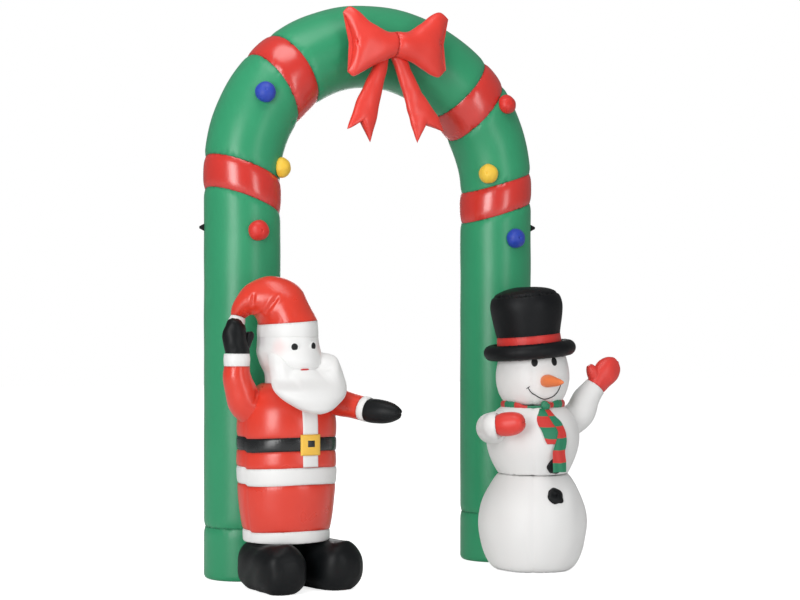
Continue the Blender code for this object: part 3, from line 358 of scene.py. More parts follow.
def gathers_first(rings, *sizes):
    """Gathers in the seam at the first ring."""
    return gathers(rings, 0, 1, *sizes)


def gathers_last(rings, *sizes):
    """Gathers in the seam at the last ring."""
    return gathers(rings, len(rings) - 1, -1, *sizes)


WAVES = 7


def uneven(rings, deep, size, seed):
    """Shallow waves all over a skin, as thin cloth shows under low pressure: how deep and how long."""
    dice = np.random.default_rng(seed)
    move = np.zeros(rings.shape[:2])
    for _ in range(WAVES):
        way = dice.normal(size=3)
        way /= np.linalg.norm(way) * size * dice.uniform(0.6, 1.6)
        move += deep / 3 * np.sin(2 * math.pi * rings @ way + dice.uniform(0, 6.3))
    return rings + outward(rings) * move[..., None]


SEWN_LINES = {}
SEAM_ALLOWANCE, THREAD_LIFT = 0.0045, 0.0003
AT_LID, CLEAR_OF_SEAM, FAR_FROM_SEAM = 0.02, 0.2, 1.0
AIR_FULL, LEAST_END = 0.95, 0.25


def stitch_line(rings):
    """The line of stitches beside the first end of a skin, a little off its cloth."""
    step = lengths(rings, 0)
    row = np.clip((step < SEAM_ALLOWANCE).sum(0) - 1, 0, len(rings) - 2)
    column = np.arange(rings.shape[1])
    a, b = rings[row, column], rings[row + 1, column]
    part = (SEAM_ALLOWANCE - step[row, column]) / (step[row + 1, column] - step[row, column])
    return a + (b - a) * np.clip(part, 0, 1)[:, None] + outward(rings)[row, column] * THREAD_LIFT


def turned_in(ring, tuck):
    """An end ring drawn towards its middle."""
    middle = ring.mean(0)
    size = np.linalg.norm(ring - middle, axis=1, keepdims=True)
    return middle + (ring - middle) * np.maximum(LEAST_END, 1 - tuck / np.maximum(size, 1e-9))


def lid(points, first, columns, centre, upward):
    """Triangles from one end ring to a centre point, and their map in metres."""
    index = np.arange(columns)
    here, ahead = first + index, first + (index + 1) % columns
    faces = np.stack([np.full(columns, centre), *((here, ahead) if upward else (ahead, here))], -1)
    axis = points[first] - points[centre]
    axis = axis / max(np.linalg.norm(axis), 1e-9)
    other = points[first + columns // 4] - points[centre]
    other = other - axis * (other @ axis)
    other = other / max(np.linalg.norm(other), 1e-9)
    flat = points[faces] - points[centre]
    return faces, np.stack([flat @ axis, flat @ other], -1)


def inside_out(points, quads, lids=None):
    """True if faces enclose a volume below zero."""
    a, b, c, d = (points[quads[:, k]] for k in range(4))
    volume = (np.cross(a, b) * c).sum() + (np.cross(a, c) * d).sum()
    if lids is not None:
        volume += (np.cross(points[lids[:, 0]], points[lids[:, 1]]) * points[lids[:, 2]]).sum()
    return volume < 0


def cloth_mesh(name, points, faces, uv, seam):
    """A mesh with its UV map and its distance from the nearest seam."""
    mesh = bpy.data.meshes.new(name)
    mesh.from_pydata(points.tolist(), [], faces)
    mesh.uv_layers.new(name="cloth").data.foreach_set("uv", uv.astype(np.float32).ravel())
    mesh.attributes.new("seam", "FLOAT", "POINT").data.foreach_set("value", seam.astype(np.float32))
    return mesh


def sewn_on(name, mesh, material, nodes, corner=55):
    """Makes a mesh a piece of the object, in its cloth, in place of its CAD nodes."""
    mesh.materials.clear()
    mesh.materials.append(material)
    mesh.shade_smooth()
    mesh.set_sharp_from_angle(angle=math.radians(corner))
    part = stood(name, mesh)
    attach(part, "root")
    if nodes:
        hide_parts(*nodes)
    return part


def skin(name, rings, material, slot, *nodes, fill=AIR_FULL, tuck=0.005, seams=(True, True), corner=55,
         closing=(None, None)):
    """A closed cloth piece over rings of points. Each end is turned in and shut at a point, by default
    its middle. Its UV map is in metres, and its seam attribute is each point's distance from the
    nearest sewn end. The line of stitches beside each sewn end is kept for the thread."""
    for sewn, line in zip(seams, (rings, rings[::-1])):
        if sewn:
            SEWN_LINES.setdefault(slot, []).append(stitch_line(line))
    grid = rings
    if tuck > 0:
        grid = np.concatenate([turned_in(rings[0], tuck)[None], rings, turned_in(rings[-1], tuck)[None]])
    rows, columns = grid.shape[:2]
    u = lengths(grid, 1, closed=True)
    u -= u[:, -1:] / 2
    run = lengths(grid, 0)
    v = np.concatenate([run, run[:, :1]], 1)
    seam = np.full((rows, columns), FAR_FROM_SEAM)
    edge = 1 if tuck > 0 else 0
    if seams[0]:
        seam = np.minimum(seam, np.abs(run - run[edge]))
    if seams[1]:
        seam = np.minimum(seam, np.abs(run[-1 - edge] - run))
    shut = [grid[at].mean(0) if point is None else point for at, point in zip((0, -1), closing)]
    points = np.concatenate([grid.reshape(-1, 3), shut])
    r, c = np.meshgrid(np.arange(rows - 1), np.arange(columns), indexing="ij")
    d = (c + 1) % columns
    quads = np.stack([r * columns + c, r * columns + d, (r + 1) * columns + d, (r + 1) * columns + c], -1)
    quads = quads.reshape(-1, 4)
    corners = [np.stack([m[r, c], m[r, c + 1], m[r + 1, c + 1], m[r + 1, c]], -1) for m in (u, v)]
    corners = np.stack(corners, -1).reshape(-1, 4, 2)
    ends = (lid(points, 0, columns, rows * columns, False),
            lid(points, (rows - 1) * columns, columns, rows * columns + 1, True))
    lids, lid_uv = (np.concatenate(pair) for pair in zip(*ends))
    if inside_out(points, quads, lids):
        quads, corners, lids, lid_uv = (each[:, ::-1] for each in (quads, corners, lids, lid_uv))
    uv = np.concatenate([corners.reshape(-1), lid_uv.reshape(-1)])
    seam = np.concatenate([seam.reshape(-1), [AT_LID, AT_LID]])
    mesh = cloth_mesh(name, points, quads.tolist() + lids.tolist(), uv, seam)
    return sewn_on(name, mesh, material, nodes, corner)


# A piece whose ends are not sewn to a neighbour, and one laid on another with no air in it.
UNSEWN = {"tuck": 0.0, "seams": (False, False)}
LAID_ON = {**UNSEWN, "fill": None}

# The tube's centre line from the left foot over the top to the right foot.
turn = np.linspace(0, math.pi, 500)
rise = np.linspace(0, SPRING, 240)[:-1]
LINE = np.concatenate([
    np.stack([np.full_like(rise, -HALF_SPACING), rise], -1),
    np.stack([-HALF_SPACING * np.cos(turn), SPRING + RISE * np.sin(turn)], -1),
    np.stack([np.full_like(rise, HALF_SPACING), rise[::-1]], -1),
])
OUT = units(np.concatenate([
    np.stack([np.full_like(rise, -1.0), rise * 0], -1),
    np.stack([-np.cos(turn) / HALF_SPACING, np.sin(turn) / RISE], -1),
    np.stack([np.full_like(rise, 1.0), rise * 0], -1),
]))
swell = np.concatenate([rise * 0, np.sin(turn), rise * 0])
TUBE_RADIUS = LEG_RADIUS + (CROWN_RADIUS - LEG_RADIUS) * swell
RUN = run_along(LINE)


def on_tube(run, around, lift=0.0):
    """Points of the tube at lengths along its centre line; around is 0 at the front and 90 degrees
    on the outer side."""
    run, around = np.broadcast_arrays(run, around)
    x, z = (np.interp(run, RUN, LINE[:, k]) for k in (0, 1))
    ox, oz = (np.interp(run, RUN, OUT[:, k]) for k in (0, 1))
    radius = np.interp(run, RUN, TUBE_RADIUS) + lift
    side = radius * np.sin(around)
    return np.stack([x + side * ox, -radius * np.cos(around), z + side * oz], -1)


def off_the_arch(points, lift=0.0004):
    """Moves the points that would be inside the tube out to its cloth, all measured from the arch."""
    flat = points.reshape(-1, 3)
    near = np.concatenate([np.argmin(((part[:, None, [0, 2]] - LINE[None]) ** 2).sum(2), axis=1)
                           for part in np.array_split(flat, max(1, len(flat) // 4000))])
    core = np.stack([LINE[near, 0], np.zeros(len(near)), LINE[near, 1]], -1)
    away = flat - core
    size = np.linalg.norm(away, axis=1)
    want = TUBE_RADIUS[near] + lift
    scale = np.where(size < want, want / np.maximum(size, 1e-6), 1.0)
    return (core + away * scale[:, None]).reshape(points.shape)


def beside_tube(points):
    """Moves points of the scene that would be inside the tube out to its cloth."""
    return off_the_arch(points - ARCH) + ARCH


def band_edges(side, degrees, height, tilt):
    """Point and direction of the two seam planes of a red band."""
    angle, lean = math.radians(degrees), math.radians(tilt)
    middle = np.array([-HALF_SPACING * math.cos(angle), 0, height or SPRING + RISE * math.sin(angle)])
    up = np.array([math.sin(lean), 0, math.cos(lean)])
    flip = np.array([-side, 1, 1])
    return [((middle + up * BAND_WIDTH * step) * flip, up * flip) for step in (-0.5, 0.5)]


low_left, high_left = band_edges(-1, 0, LOW_BAND_HEIGHT, 19), band_edges(-1, 44.7, None, 55)
low_right, high_right = band_edges(1, 0, LOW_BAND_HEIGHT, 17.5), band_edges(1, 41.3, None, 51)
foot_left, foot_right = ((np.array([side * HALF_SPACING, 0, FOOT_SEAM]), np.array([0, 0, 1.0]))
                         for side in (-1, 1))
SEAMS = [None, foot_left, *low_left, *high_left, *high_right[::-1], *low_right[::-1], foot_right, None]
PANELS = ("leg_base_left", "leg_left", "band_low_left", "shoulder_left", "band_high_left", "crown",
          "band_high_right", "shoulder_right", "band_low_right", "leg_right", "leg_base_right")
around = round_angles(TUBE_COLUMNS, 180)
lines = on_tube(RUN[:, None], around[None])
OTHER_SIDE, REACH = 10.0, 130


def crossing(seam, first):
    """How far along the centre line each lengthwise thread of the tube meets a seam's plane."""
    if seam is None:
        return np.full(TUBE_COLUMNS, RUN[0] if first else RUN[-1])
    point, way = seam
    middle = np.abs((np.stack([LINE[:, 0], LINE[:, 0] * 0, LINE[:, 1]], -1) - point) @ way
                    + OTHER_SIDE * (np.sign(LINE[:, 0]) != np.sign(point[0])))
    start = int(np.argmin(middle))
    low, high = max(0, start - REACH), min(len(RUN) - 1, start + REACH)
    height = (lines[low:high] - point) @ way
    change = np.argmax(np.sign(height[:-1]) != np.sign(height[1:]), axis=0)
    index = np.arange(TUBE_COLUMNS)
    a, b = height[change, index], height[change + 1, index]
    return RUN[low + change] + (RUN[low + change + 1] - RUN[low + change]) * a / (a - b)


def stations(length, step=0.011):
    """Fractions along a panel: close together by its seams, a step apart between them."""
    near = np.array([0, 0.0012, 0.003, 0.0055, 0.009, 0.014, 0.021])
    near = near[near < length * 0.35]
    inner = np.linspace(near[-1], length - near[-1], max(3, int((length - 2 * near[-1]) / step)))
    return np.concatenate([near[:-1], inner, length - near[:-1][::-1]]) / length


PINCH_REACH, GROOVE_HALF = 0.0028, 0.006


def drawn_in(distance, deep=0.0045, reach=0.016, pinch=0.0022):
    """How far a seam draws the cloth in at a distance from it."""
    return deep * np.exp(-(distance / reach) ** 2) + pinch * np.exp(-distance / PINCH_REACH)


def groove(distance, deep):
    """How far a flat joining seam sinks at a distance from it."""
    return deep * np.exp(-(distance / GROOVE_HALF) ** 2)


# Creases seen on the tube: start, end, half width, depth, and whether the deep end is sewn.
BEND_CREASES = (
    ((-0.4334, -0.1099, 1.8673), (-0.5745, -0.1620, 1.9250), 0.011, 0.0075, True),
    ((-0.4334, 0.1099, 1.8673), (-0.5745, 0.1620, 1.9250), 0.011, 0.0075, True),
    ((0.3914, -0.0226, 1.8617), (0.5240, -0.1640, 1.9220), 0.009, 0.0065, True),
    ((0.4150, -0.0700, 1.8470), (0.5120, -0.1600, 1.8960), 0.008, 0.0045, True),
    ((0.3914, 0.0400, 1.8617), (0.5240, 0.1640, 1.9220), 0.010, 0.0065, True),
    ((-0.1469, -0.1091, 2.0736), (-0.1480, -0.0600, 2.0420), 0.006, 0.0040, True),
    ((-0.1300, -0.1090, 2.0760), (-0.1300, -0.0640, 2.0480), 0.006, 0.0026, True),
    ((-0.1650, -0.1100, 2.0700), (-0.1680, -0.0620, 2.0380), 0.007, 0.0026, True),
    ((0.2950, -0.1500, 2.1150), (0.2080, -0.0700, 2.0220), 0.010, -0.0035, False),
    ((0.3150, -0.1480, 2.1000), (0.2280, -0.0700, 2.0060), 0.007, 0.0030, False),
    ((-0.5000, -0.1150, 2.1600), (-0.5500, -0.1500, 2.0600), 0.008, 0.0022, False),
    ((-0.4700, -0.1350, 2.1250), (-0.5350, -0.1560, 2.0350), 0.007, 0.0020, False),
)
# How far the foot turns in at small heights above the floor.
FOOT_HEIGHTS, FOOT_TURNED_IN = [0, 0.002, 0.006, 0.014], [0.012, 0.0075, 0.0035, 0]
CREASE_NEAR, BAND_FULLER, GATHER_COUNT, GATHER_LONG = 0.05, 0.003, 34, 0.040
back_seam = np.abs(np.angle(np.exp(1j * (around - BACK_SEAM)))) * LEG_RADIUS
edges = [crossing(seam, i == 0) for i, seam in enumerate(SEAMS)]
for i, name in enumerate(PANELS):
    below, above = edges[i] + GAP / 2, edges[i + 1] - GAP / 2
    share = stations(float((above - below).mean()))[:, None]
    run = below + (above - below) * share
    rings = on_tube(run, around[None])
    lift = np.zeros(run.shape)
    for seam in (SEAMS[i], SEAMS[i + 1]):
        if seam is not None:
            lift -= drawn_in(np.abs((rings - seam[0]) @ seam[1]))
    red, foot = name.startswith("band"), name.startswith("leg_base")
    if red:
        lift += BAND_FULLER * np.sin(math.pi * share)
    lift -= groove(back_seam, 0.0022)
    if foot:
        lift -= np.interp(rings[..., 2], FOOT_HEIGHTS, FOOT_TURNED_IN)
    rings = on_tube(run, around[None], lift)
    folds = [fold for fold in BEND_CREASES
             if min(np.abs(rings - np.array(end)).max(2).min() for end in fold[:2]) < CREASE_NEAR]
    if SEAMS[i] is not None:
        folds += gathers_first(rings, GATHER_COUNT, GATHER_LONG, 100 + i)
    if SEAMS[i + 1] is not None:
        folds += gathers_last(rings, GATHER_COUNT, GATHER_LONG, 200 + i)
    rings = pressed(rings, folds)
    if foot:
        rings[..., 2] = np.maximum(rings[..., 2], 0.0)
    else:
        rings = uneven(rings, 0.0008, 0.22, 300 + i)
    cloth, slot = (RED_BAND_CLOTH, "red_cloth") if red else (GREEN_CLOTH, "green_cloth")
    sewn = (SEAMS[i] is not None, SEAMS[i + 1] is not None)
    skin(name + "_cloth", rings + ARCH, cloth, slot, name, seams=sewn)


# Six small stuffed balls of the same cloth, each closed with a drawn thread and sewn flat to the tube.

YELLOW_CLOTH = coated_cloth("yellow_cloth", linear(240, 196, 62), gloss=0.5)
BLUE_CLOTH = coated_cloth("blue_cloth", linear(34, 66, 176), gloss=0.48)
BALL_RADIUS, BALL_HEIGHT, BALL_PROUD = 0.0425, 0.036, 0.010
# Colour, side, height and degrees round the tube.
BALLS = (
    ("blue", "left", 1.940, 20), ("yellow", "left", 1.684, -50), ("red", "left", 1.412, 0),
    ("red", "right", 1.964, 22), ("yellow", "right", 1.712, -42), ("blue", "right", 1.416, 0),
)
BALL_CLOTHS = {"blue": BLUE_CLOTH, "yellow": YELLOW_CLOTH, "red": RED_CLOTH}
SIDES = {"left": -1, "right": 1}


def ball_rings(radius, height, rows=30, columns=56, low=-88, high=88):
    """Rings of a round, slightly flat ball about the origin, with Z as its axis."""
    up = np.radians(np.linspace(low, high, rows))[:, None]
    turn = round_angles(columns, 0)[None]
    return np.stack([radius * np.cos(up) * np.cos(turn), radius * np.cos(up) * np.sin(turn),
                     height * np.sin(up) + 0 * turn], -1)


def turned_to(points, way, place):
    """Points with their Z axis turned to point along way, and moved to a place."""
    way = Vector(way).normalized()
    matrix = np.array(way.to_track_quat("Z", "Y").to_matrix())
    return points @ matrix.T + np.asarray(place)


def on_leg(side, height, degrees):
    """A point on the tube at a height on one side, and the way it faces."""
    half = np.nonzero(np.sign(LINE[:, 0]) == SIDES[side])[0]
    at = RUN[half[np.argmin(np.abs(LINE[half, 1] - height))]]
    place = on_tube(at, math.radians(degrees))
    return place, unit(place - on_tube(at, 0.0, -np.interp(at, RUN, TUBE_RADIUS)))


for colour, side, height, degrees in BALLS:
    name = f"ball_{colour}_{side}"
    place, way = on_leg(side, height, degrees)
    seed = int(height * 1000)
    rings = uneven(ball_rings(BALL_RADIUS, BALL_HEIGHT), 0.0014, 0.05, seed)
    rings = pressed(rings, gathers_first(rings, 12, 0.045, seed, 0.006, 0.0020)
                    + gathers_last(rings, 7, 0.020, seed + 1, 0.004, 0.0012))
    rings = off_the_arch(turned_to(rings, way, place + way * BALL_PROUD))
    skin(name + "_cloth", rings + ARCH, BALL_CLOTHS[colour], colour + "_cloth", name, **UNSEWN)


# Two folded webbing tabs on the outer sides of the legs, for tether lines: each is one loop of black
# webbing pressed flat, with its raw ends caught in the leg's seam.

WEBBING = coated_cloth("black_webbing", linear(20, 21, 23), gloss=0.6, slack=0.0002, gather=0.0, amount=0.2,
                       sheen=0.0, shine=0.3)
TAB_ROOT, TAB_TIP, TAB_REACH, TAB_THICK, TAB_SUNK = 0.034, 0.009, 0.020, 0.003, 0.003
TAB_SQUARE, TAB_ROWS, TAB_COLUMNS = 0.35, 12, 28
UP = np.array((0, 0, 1.0))

for side, height, degrees in (("left", 1.432, 105), ("right", 1.472, 62)):
    name = "tether_tab_" + side
    place, way = on_leg(side, height, degrees)
    across = np.cross(way, UP)
    rings = []
    for share in np.linspace(0, 1, TAB_ROWS):
        half = np.interp(share, [0, 1], [TAB_ROOT / 2, TAB_TIP / 2])
        thick = TAB_THICK / 2 * (1 - 0.25 * share)
        out = place + way * (-TAB_SUNK + share * (TAB_REACH + TAB_SUNK))
        ring = []
        for k in range(TAB_COLUMNS):
            a = 2 * math.pi * k / TAB_COLUMNS
            u, w = (math.copysign(abs(f(a)) ** TAB_SQUARE, f(a)) for f in (math.cos, math.sin))
            ring.append(out + UP * u * half + across * w * thick)
        rings.append(ring)
    skin(name + "_loop", np.array(rings) + ARCH, WEBBING, "webbing", name, tuck=0.0006,
         seams=(False, False), corner=70)


# The bow: two air-filled loops that share one gathered seam in the middle, and two flat filled tails
# with forked ends. All are red cloth, sewn to the front of the crown along the middle seam.

BOW_Y, BOW_MIDDLE, TAIL_Y = -0.224, -0.023, -0.196
LOOP_THICK, TAIL_THICK, LOOP_REAR = 0.056, 0.026, 0.3
FORK_FROM, LEAST_CROWN = 0.66, 0.02
BOW_CLOTH = coated_cloth("bow_cloth", linear(230, 54, 40), gloss=0.38, slack=0.0009, shine=0.8)
# Each row runs from the loop's upper edge to its lower edge: x, z, x, z, waist.
LOOP_LEFT = (
    (BOW_MIDDLE, 2.252, BOW_MIDDLE, 2.150, 0.0), (-0.075, 2.254, -0.062, 2.132, 0.0),
    (-0.140, 2.284, -0.125, 2.103, 0.0), (-0.190, 2.318, -0.176, 2.074, 0.004),
    (-0.234, 2.338, -0.216, 2.053, 0.016), (-0.264, 2.312, -0.243, 2.070, 0.034),
)
LOOP_RIGHT = (
    (BOW_MIDDLE, 2.252, BOW_MIDDLE, 2.150, 0.0), (0.042, 2.262, 0.058, 2.134, 0.0),
    (0.100, 2.300, 0.112, 2.108, 0.0), (0.150, 2.338, 0.150, 2.088, -0.004),
    (0.196, 2.356, 0.190, 2.082, -0.016), (0.236, 2.330, 0.224, 2.112, -0.034),
)
# Each row runs across the tail, from top to bottom.
TAIL_LEFT = (
    (-0.096, 2.146, -0.034, 2.160, 0.0), (-0.110, 2.106, -0.042, 2.122, 0.0),
    (-0.125, 2.076, -0.048, 2.090, 0.0), (-0.150, 2.030, -0.060, 2.046, 0.0),
    (-0.175, 1.982, -0.070, 2.000, 0.0), (-0.196, 1.932, -0.082, 1.944, 0.0),
    (-0.213, 1.884, -0.098, 1.876, 0.0), (-0.230, 1.840, -0.123, 1.792, 0.0),
)
TAIL_RIGHT = (
    (-0.030, 2.166, 0.050, 2.156, 0.0), (-0.010, 2.126, 0.062, 2.114, 0.0),
    (0.006, 2.086, 0.083, 2.080, 0.0), (0.023, 2.038, 0.113, 2.028, 0.0),
    (0.041, 1.984, 0.144, 1.988, 0.0), (0.058, 1.928, 0.176, 1.950, 0.0),
    (0.077, 1.866, 0.203, 1.916, 0.0), (0.101, 1.802, 0.231, 1.858, 0.0),
)


def spread(table, count):
    """count rows spaced evenly along a table, on a smooth curve through its rows."""
    table = np.array(table, float)
    place = np.linspace(0, len(table) - 1, count)
    k = np.minimum(place.astype(int), len(table) - 2)
    t = (place - k)[:, None]
    a, b, c, d = (table[np.clip(k + j, 0, len(table) - 1)] for j in (-1, 0, 1, 2))
    return b + 0.5 * ((c - a) * t + (2 * a - 5 * b + 4 * c - d) * t * t + (3 * b - a - 3 * c + d) * t ** 3)


def filled_flat(rows, thick, middle_y, ends, half=40, fork=None, back=1.0):
    """Rings of a flat filled form, crowned between its two edges: one ring for each row. ends gives
    the share of the crown along the form, back the share of it that the rear side has; fork lifts the
    last rows into a notch."""
    count = len(rows)
    share = np.linspace(0, 1, count)[:, None]
    u = -np.cos(np.linspace(0, math.pi, half + 1))
    u = np.concatenate([u, u[-2:0:-1]])[None]
    front = np.concatenate([np.full(half + 1, -1.0), np.full(half - 1, back)])[None]
    t = (u + 1) / 2
    x0, z0, x1, z1, waist = (rows[:, k:k + 1] for k in range(5))
    x, z = x0 + (x1 - x0) * t + waist * (1 - u * u), z0 + (z1 - z0) * t
    if fork is not None:
        pull = np.clip((share - FORK_FROM) / (1 - FORK_FROM), 0, 1) ** 1.6 * (1 - np.abs(u)) ** 1.15
        x = x + (fork[0] - (x0[-1] + x1[-1]) / 2) * pull
        z = z + (fork[1] - (z0[-1] + z1[-1]) / 2) * pull
    crown = np.maximum(np.sqrt(np.maximum(0, 1 - u * u)) ** 0.9 * ends(share), LEAST_CROWN)
    y = middle_y + front * thick * crown * (np.abs(u) < 0.99999)
    return np.stack([x, y + 0 * x, z], -1)


def loop_ends(share):
    """Full at the middle seam but for its groove, and closed to an edge at the outer end."""
    return (0.80 + 0.20 * (1 - np.exp(-share / 0.05))) * np.sqrt(np.maximum(0, 1 - share ** 2.1))


def tail_ends(share):
    """Full all along, and closed quickly at both ends."""
    return np.sqrt(np.maximum(0, 1 - np.abs(2 * share - 1) ** 9))


# Folds that fan out from a loop's waist.
FAN_ANGLES, FAN_LONG, FAN_OUT = (1.15, 0.55, 0.05, -0.45, -1.05), 0.046, -0.024
FAN_IN, FAN_Y = 0.006, -0.250
for side, table, way, seed in (("left", LOOP_LEFT, 1, 41), ("right", LOOP_RIGHT, -1, 57)):
    name = "bow_" + side
    rings = filled_flat(spread(table, 60), LOOP_THICK, BOW_Y, loop_ends, back=LOOP_REAR)
    folds = gathers_first(rings, 12, 0.045, seed, 0.005, 0.0030)
    folds += gathers_last(rings, 8, 0.024, seed + 1, 0.005, 0.0014)
    x0, z0, x1, z1, waist = table[-1]
    end = np.array([(x0 + x1) / 2 + waist + way * FAN_IN, FAN_Y, (z0 + z1) / 2])
    for turn in FAN_ANGLES:
        fan = np.array((way * FAN_LONG * math.cos(turn), FAN_OUT, FAN_LONG * math.sin(turn)))
        folds.append((end, end + fan, 0.006, 0.0050, True))
    rings = uneven(pressed(rings, folds), 0.0020, 0.09, seed)
    skin(name + "_cloth", off_the_arch(rings) + ARCH, BOW_CLOTH, "red_cloth", name, tuck=0.004)

# Folds that start in a tail's notch: how far each runs.
NOTCH_Y = -0.200
NOTCH_FOLDS = ((0.010, -0.012, 0.045), (-0.014, -0.014, 0.030), (0.022, -0.012, 0.020))
for side, table, fork, seed in (
    ("left", TAIL_LEFT, (-0.165, 1.878), 71),
    ("right", TAIL_RIGHT, (0.138, 1.884), 83),
):
    name = "bow_tail_" + side
    rings = filled_flat(spread(table, 64), TAIL_THICK, TAIL_Y, tail_ends, half=30, fork=fork)
    notch = np.array([fork[0], NOTCH_Y, fork[1]])
    folds = gathers_first(rings, 9, 0.060, seed, 0.006, 0.0030)
    folds += [(notch, notch + np.array(step), 0.007, 0.0045, True) for step in NOTCH_FOLDS]
    rings = off_the_arch(uneven(pressed(rings, folds), 0.0012, 0.07, seed)) + ARCH
    end = rings[-1, [15, 45]].mean(0)
    skin(name + "_cloth", rings, BOW_CLOTH, "red_cloth", name, tuck=0.0, closing=(None, end))


# The bearded figure stands on two stuffed boots of black cloth. Each boot is one closed bag with a
# seam over the instep, and the trousers are sewn into both tops.

hem_low, hem_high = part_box("figure_trouser_hem")
FIGURE = np.array([*((hem_low + hem_high) / 2)[:2], 0.0])
BLACK_CLOTH = coated_cloth("black_cloth", linear(13, 16, 18), gloss=0.46, slack=0.0008, sheen=0.0, shine=0.26)
# Rows from heel to toe: y, half width and half height.
BOOT = (
    (0.112, 0.040, 0.046), (0.095, 0.074, 0.080), (0.055, 0.0925, 0.102), (-0.030, 0.0955, 0.104),
    (-0.110, 0.0960, 0.104), (-0.175, 0.0900, 0.096), (-0.215, 0.0700, 0.072), (-0.234, 0.0380, 0.040),
)
BOOT_MIDDLE, BOOT_TOP, BOOT_HEEL_Y = 0.088, 0.187, 0.055
STAR_ANGLES, ANKLE_FOLDS = (0.2, 1.5, 2.7, 3.9, 5.2), (-0.058, -0.022, 0.030, 0.066)
TONGUE_X, TONGUE_Y, TONGUE_RISE, TONGUE_FROM = 0.006, -0.196, 0.014, 0.12
TONGUE_WIDE, TONGUE_LONG = 0.034, 0.022


def along_path(rows, count, columns=96, facing=(0, 1, 0), level=0.0, square=1.0, start=90.0):
    """Rings round a smooth path through rows of x, y, z, half width and half depth. facing is the
    side that the depth is measured along; the first rings lie level over a share of the path."""
    rows = spread(rows, count)
    middle = rows[:, :3]
    way = units(np.gradient(middle, axis=0))
    if level > 0:
        flat = np.clip(1 - np.linspace(0, 1, count) / level, 0, 1)[:, None]
        way = units(way * (1 - flat) + np.array((0, 0, np.sign(way[0, 2]))) * flat)
    across = units(np.cross(facing, way))
    deep = np.cross(way, across)
    angle = np.radians(start) + 2 * math.pi * np.arange(columns) / columns
    u = np.sign(np.cos(angle)) * np.abs(np.cos(angle)) ** square
    v = np.sign(np.sin(angle)) * np.abs(np.sin(angle)) ** square
    wide = rows[:, 3:4]
    tall = rows[:, 4:5] if rows.shape[1] > 4 else wide
    return middle[:, None] + across[:, None] * (u * wide)[..., None] + deep[:, None] * (v * tall)[..., None]


def turned_about(points, x, y, degrees):
    """Points turned about an upright line."""
    c, s = math.cos(math.radians(degrees)), math.sin(math.radians(degrees))
    off = points - np.array([x, y, 0])
    across, back, up = (off[..., k] for k in range(3))
    return np.stack([across * c - back * s + x, across * s + back * c + y, up], -1)


for side, x, toe_out, seed in (("left", -0.090, 0, 11), ("right", 0.105, 14, 23)):
    name = "figure_boot_" + side
    rows = [(x, y, BOOT_MIDDLE, wide, tall) for y, wide, tall in BOOT]
    rings = along_path(rows, 56, facing=(0, 0, 1), square=0.80)
    way = SIDES[side]
    folds = [((x - way * 0.010, -0.150, 0.190), (x - way * 0.055, -0.215, 0.060), 0.006, 0.0055, False)]
    toe = x + way * 0.012
    folds += [((toe, -0.232, 0.088), (toe + 0.034 * math.cos(a), -0.215, 0.088 + 0.030 * math.sin(a)),
               0.0055, 0.0034, True) for a in STAR_ANGLES]
    folds += [((x + off, -0.158, 0.186), (x + off * 1.3, -0.205, 0.130), 0.009, 0.0035, True)
              for off in ANKLE_FOLDS]
    rings = uneven(pressed(rings, folds), 0.0030, 0.11, seed)
    across, along = (rings[..., 0] - x - TONGUE_X) / TONGUE_WIDE, (rings[..., 1] - TONGUE_Y) / TONGUE_LONG
    rise = TONGUE_RISE * np.exp(-across ** 2 - along ** 2) * (rings[..., 2] > TONGUE_FROM)
    rings[..., 2] = np.clip(rings[..., 2], 0, BOOT_TOP - 0.0004) + rise
    rings = turned_about(rings, x, BOOT_HEEL_Y, toe_out)
    skin(name + "_cloth", beside_tube(rings + FIGURE), BLACK_CLOTH, "black_cloth", name, **UNSEWN)


# The body is one filled bag pieced from six bands: white hems, red suit and black belt. They are
# sewn edge to edge, and two side seams join front and back, where the bands miss each other a little.

# The white cloths take weaker painted shade in their seams (groove=0.10).
WHITE_CLOTH = coated_cloth("white_cloth", linear(233, 233, 232), gloss=0.48, slack=0.0006, amount=0.03,
                           groove=0.10)
SUIT_CLOTH = coated_cloth("suit_cloth", linear(222, 56, 36), gloss=0.29, slack=0.0005, shine=0.75)
BELT_CLOTH = coated_cloth("belt_cloth", linear(20, 22, 24), gloss=0.26, slack=0.0004, sheen=0.0, shine=0.7)
# Height, half width and half depth.
GIRTH = spread((
    (0.187, 0.172, 0.162), (0.226, 0.173, 0.163), (0.300, 0.183, 0.173), (0.360, 0.190, 0.180),
    (0.406, 0.194, 0.184), (0.472, 0.197, 0.187), (0.536, 0.196, 0.186), (0.589, 0.196, 0.186),
    (0.650, 0.195, 0.185), (0.700, 0.187, 0.177), (0.740, 0.170, 0.160), (0.775, 0.140, 0.134),
    (0.802, 0.100, 0.100)), 400)
GIRTH = GIRTH[np.argsort(GIRTH[:, 0])]
PUFF = 0.0022
BODY_ANGLE = round_angles(132)
SIDE_SEAMS = (-169.0, -11.0)
STEP_AT_SEAM, RISE_IN_FRONT, MEAN_GIRTH = 0.008, 0.008, 0.19
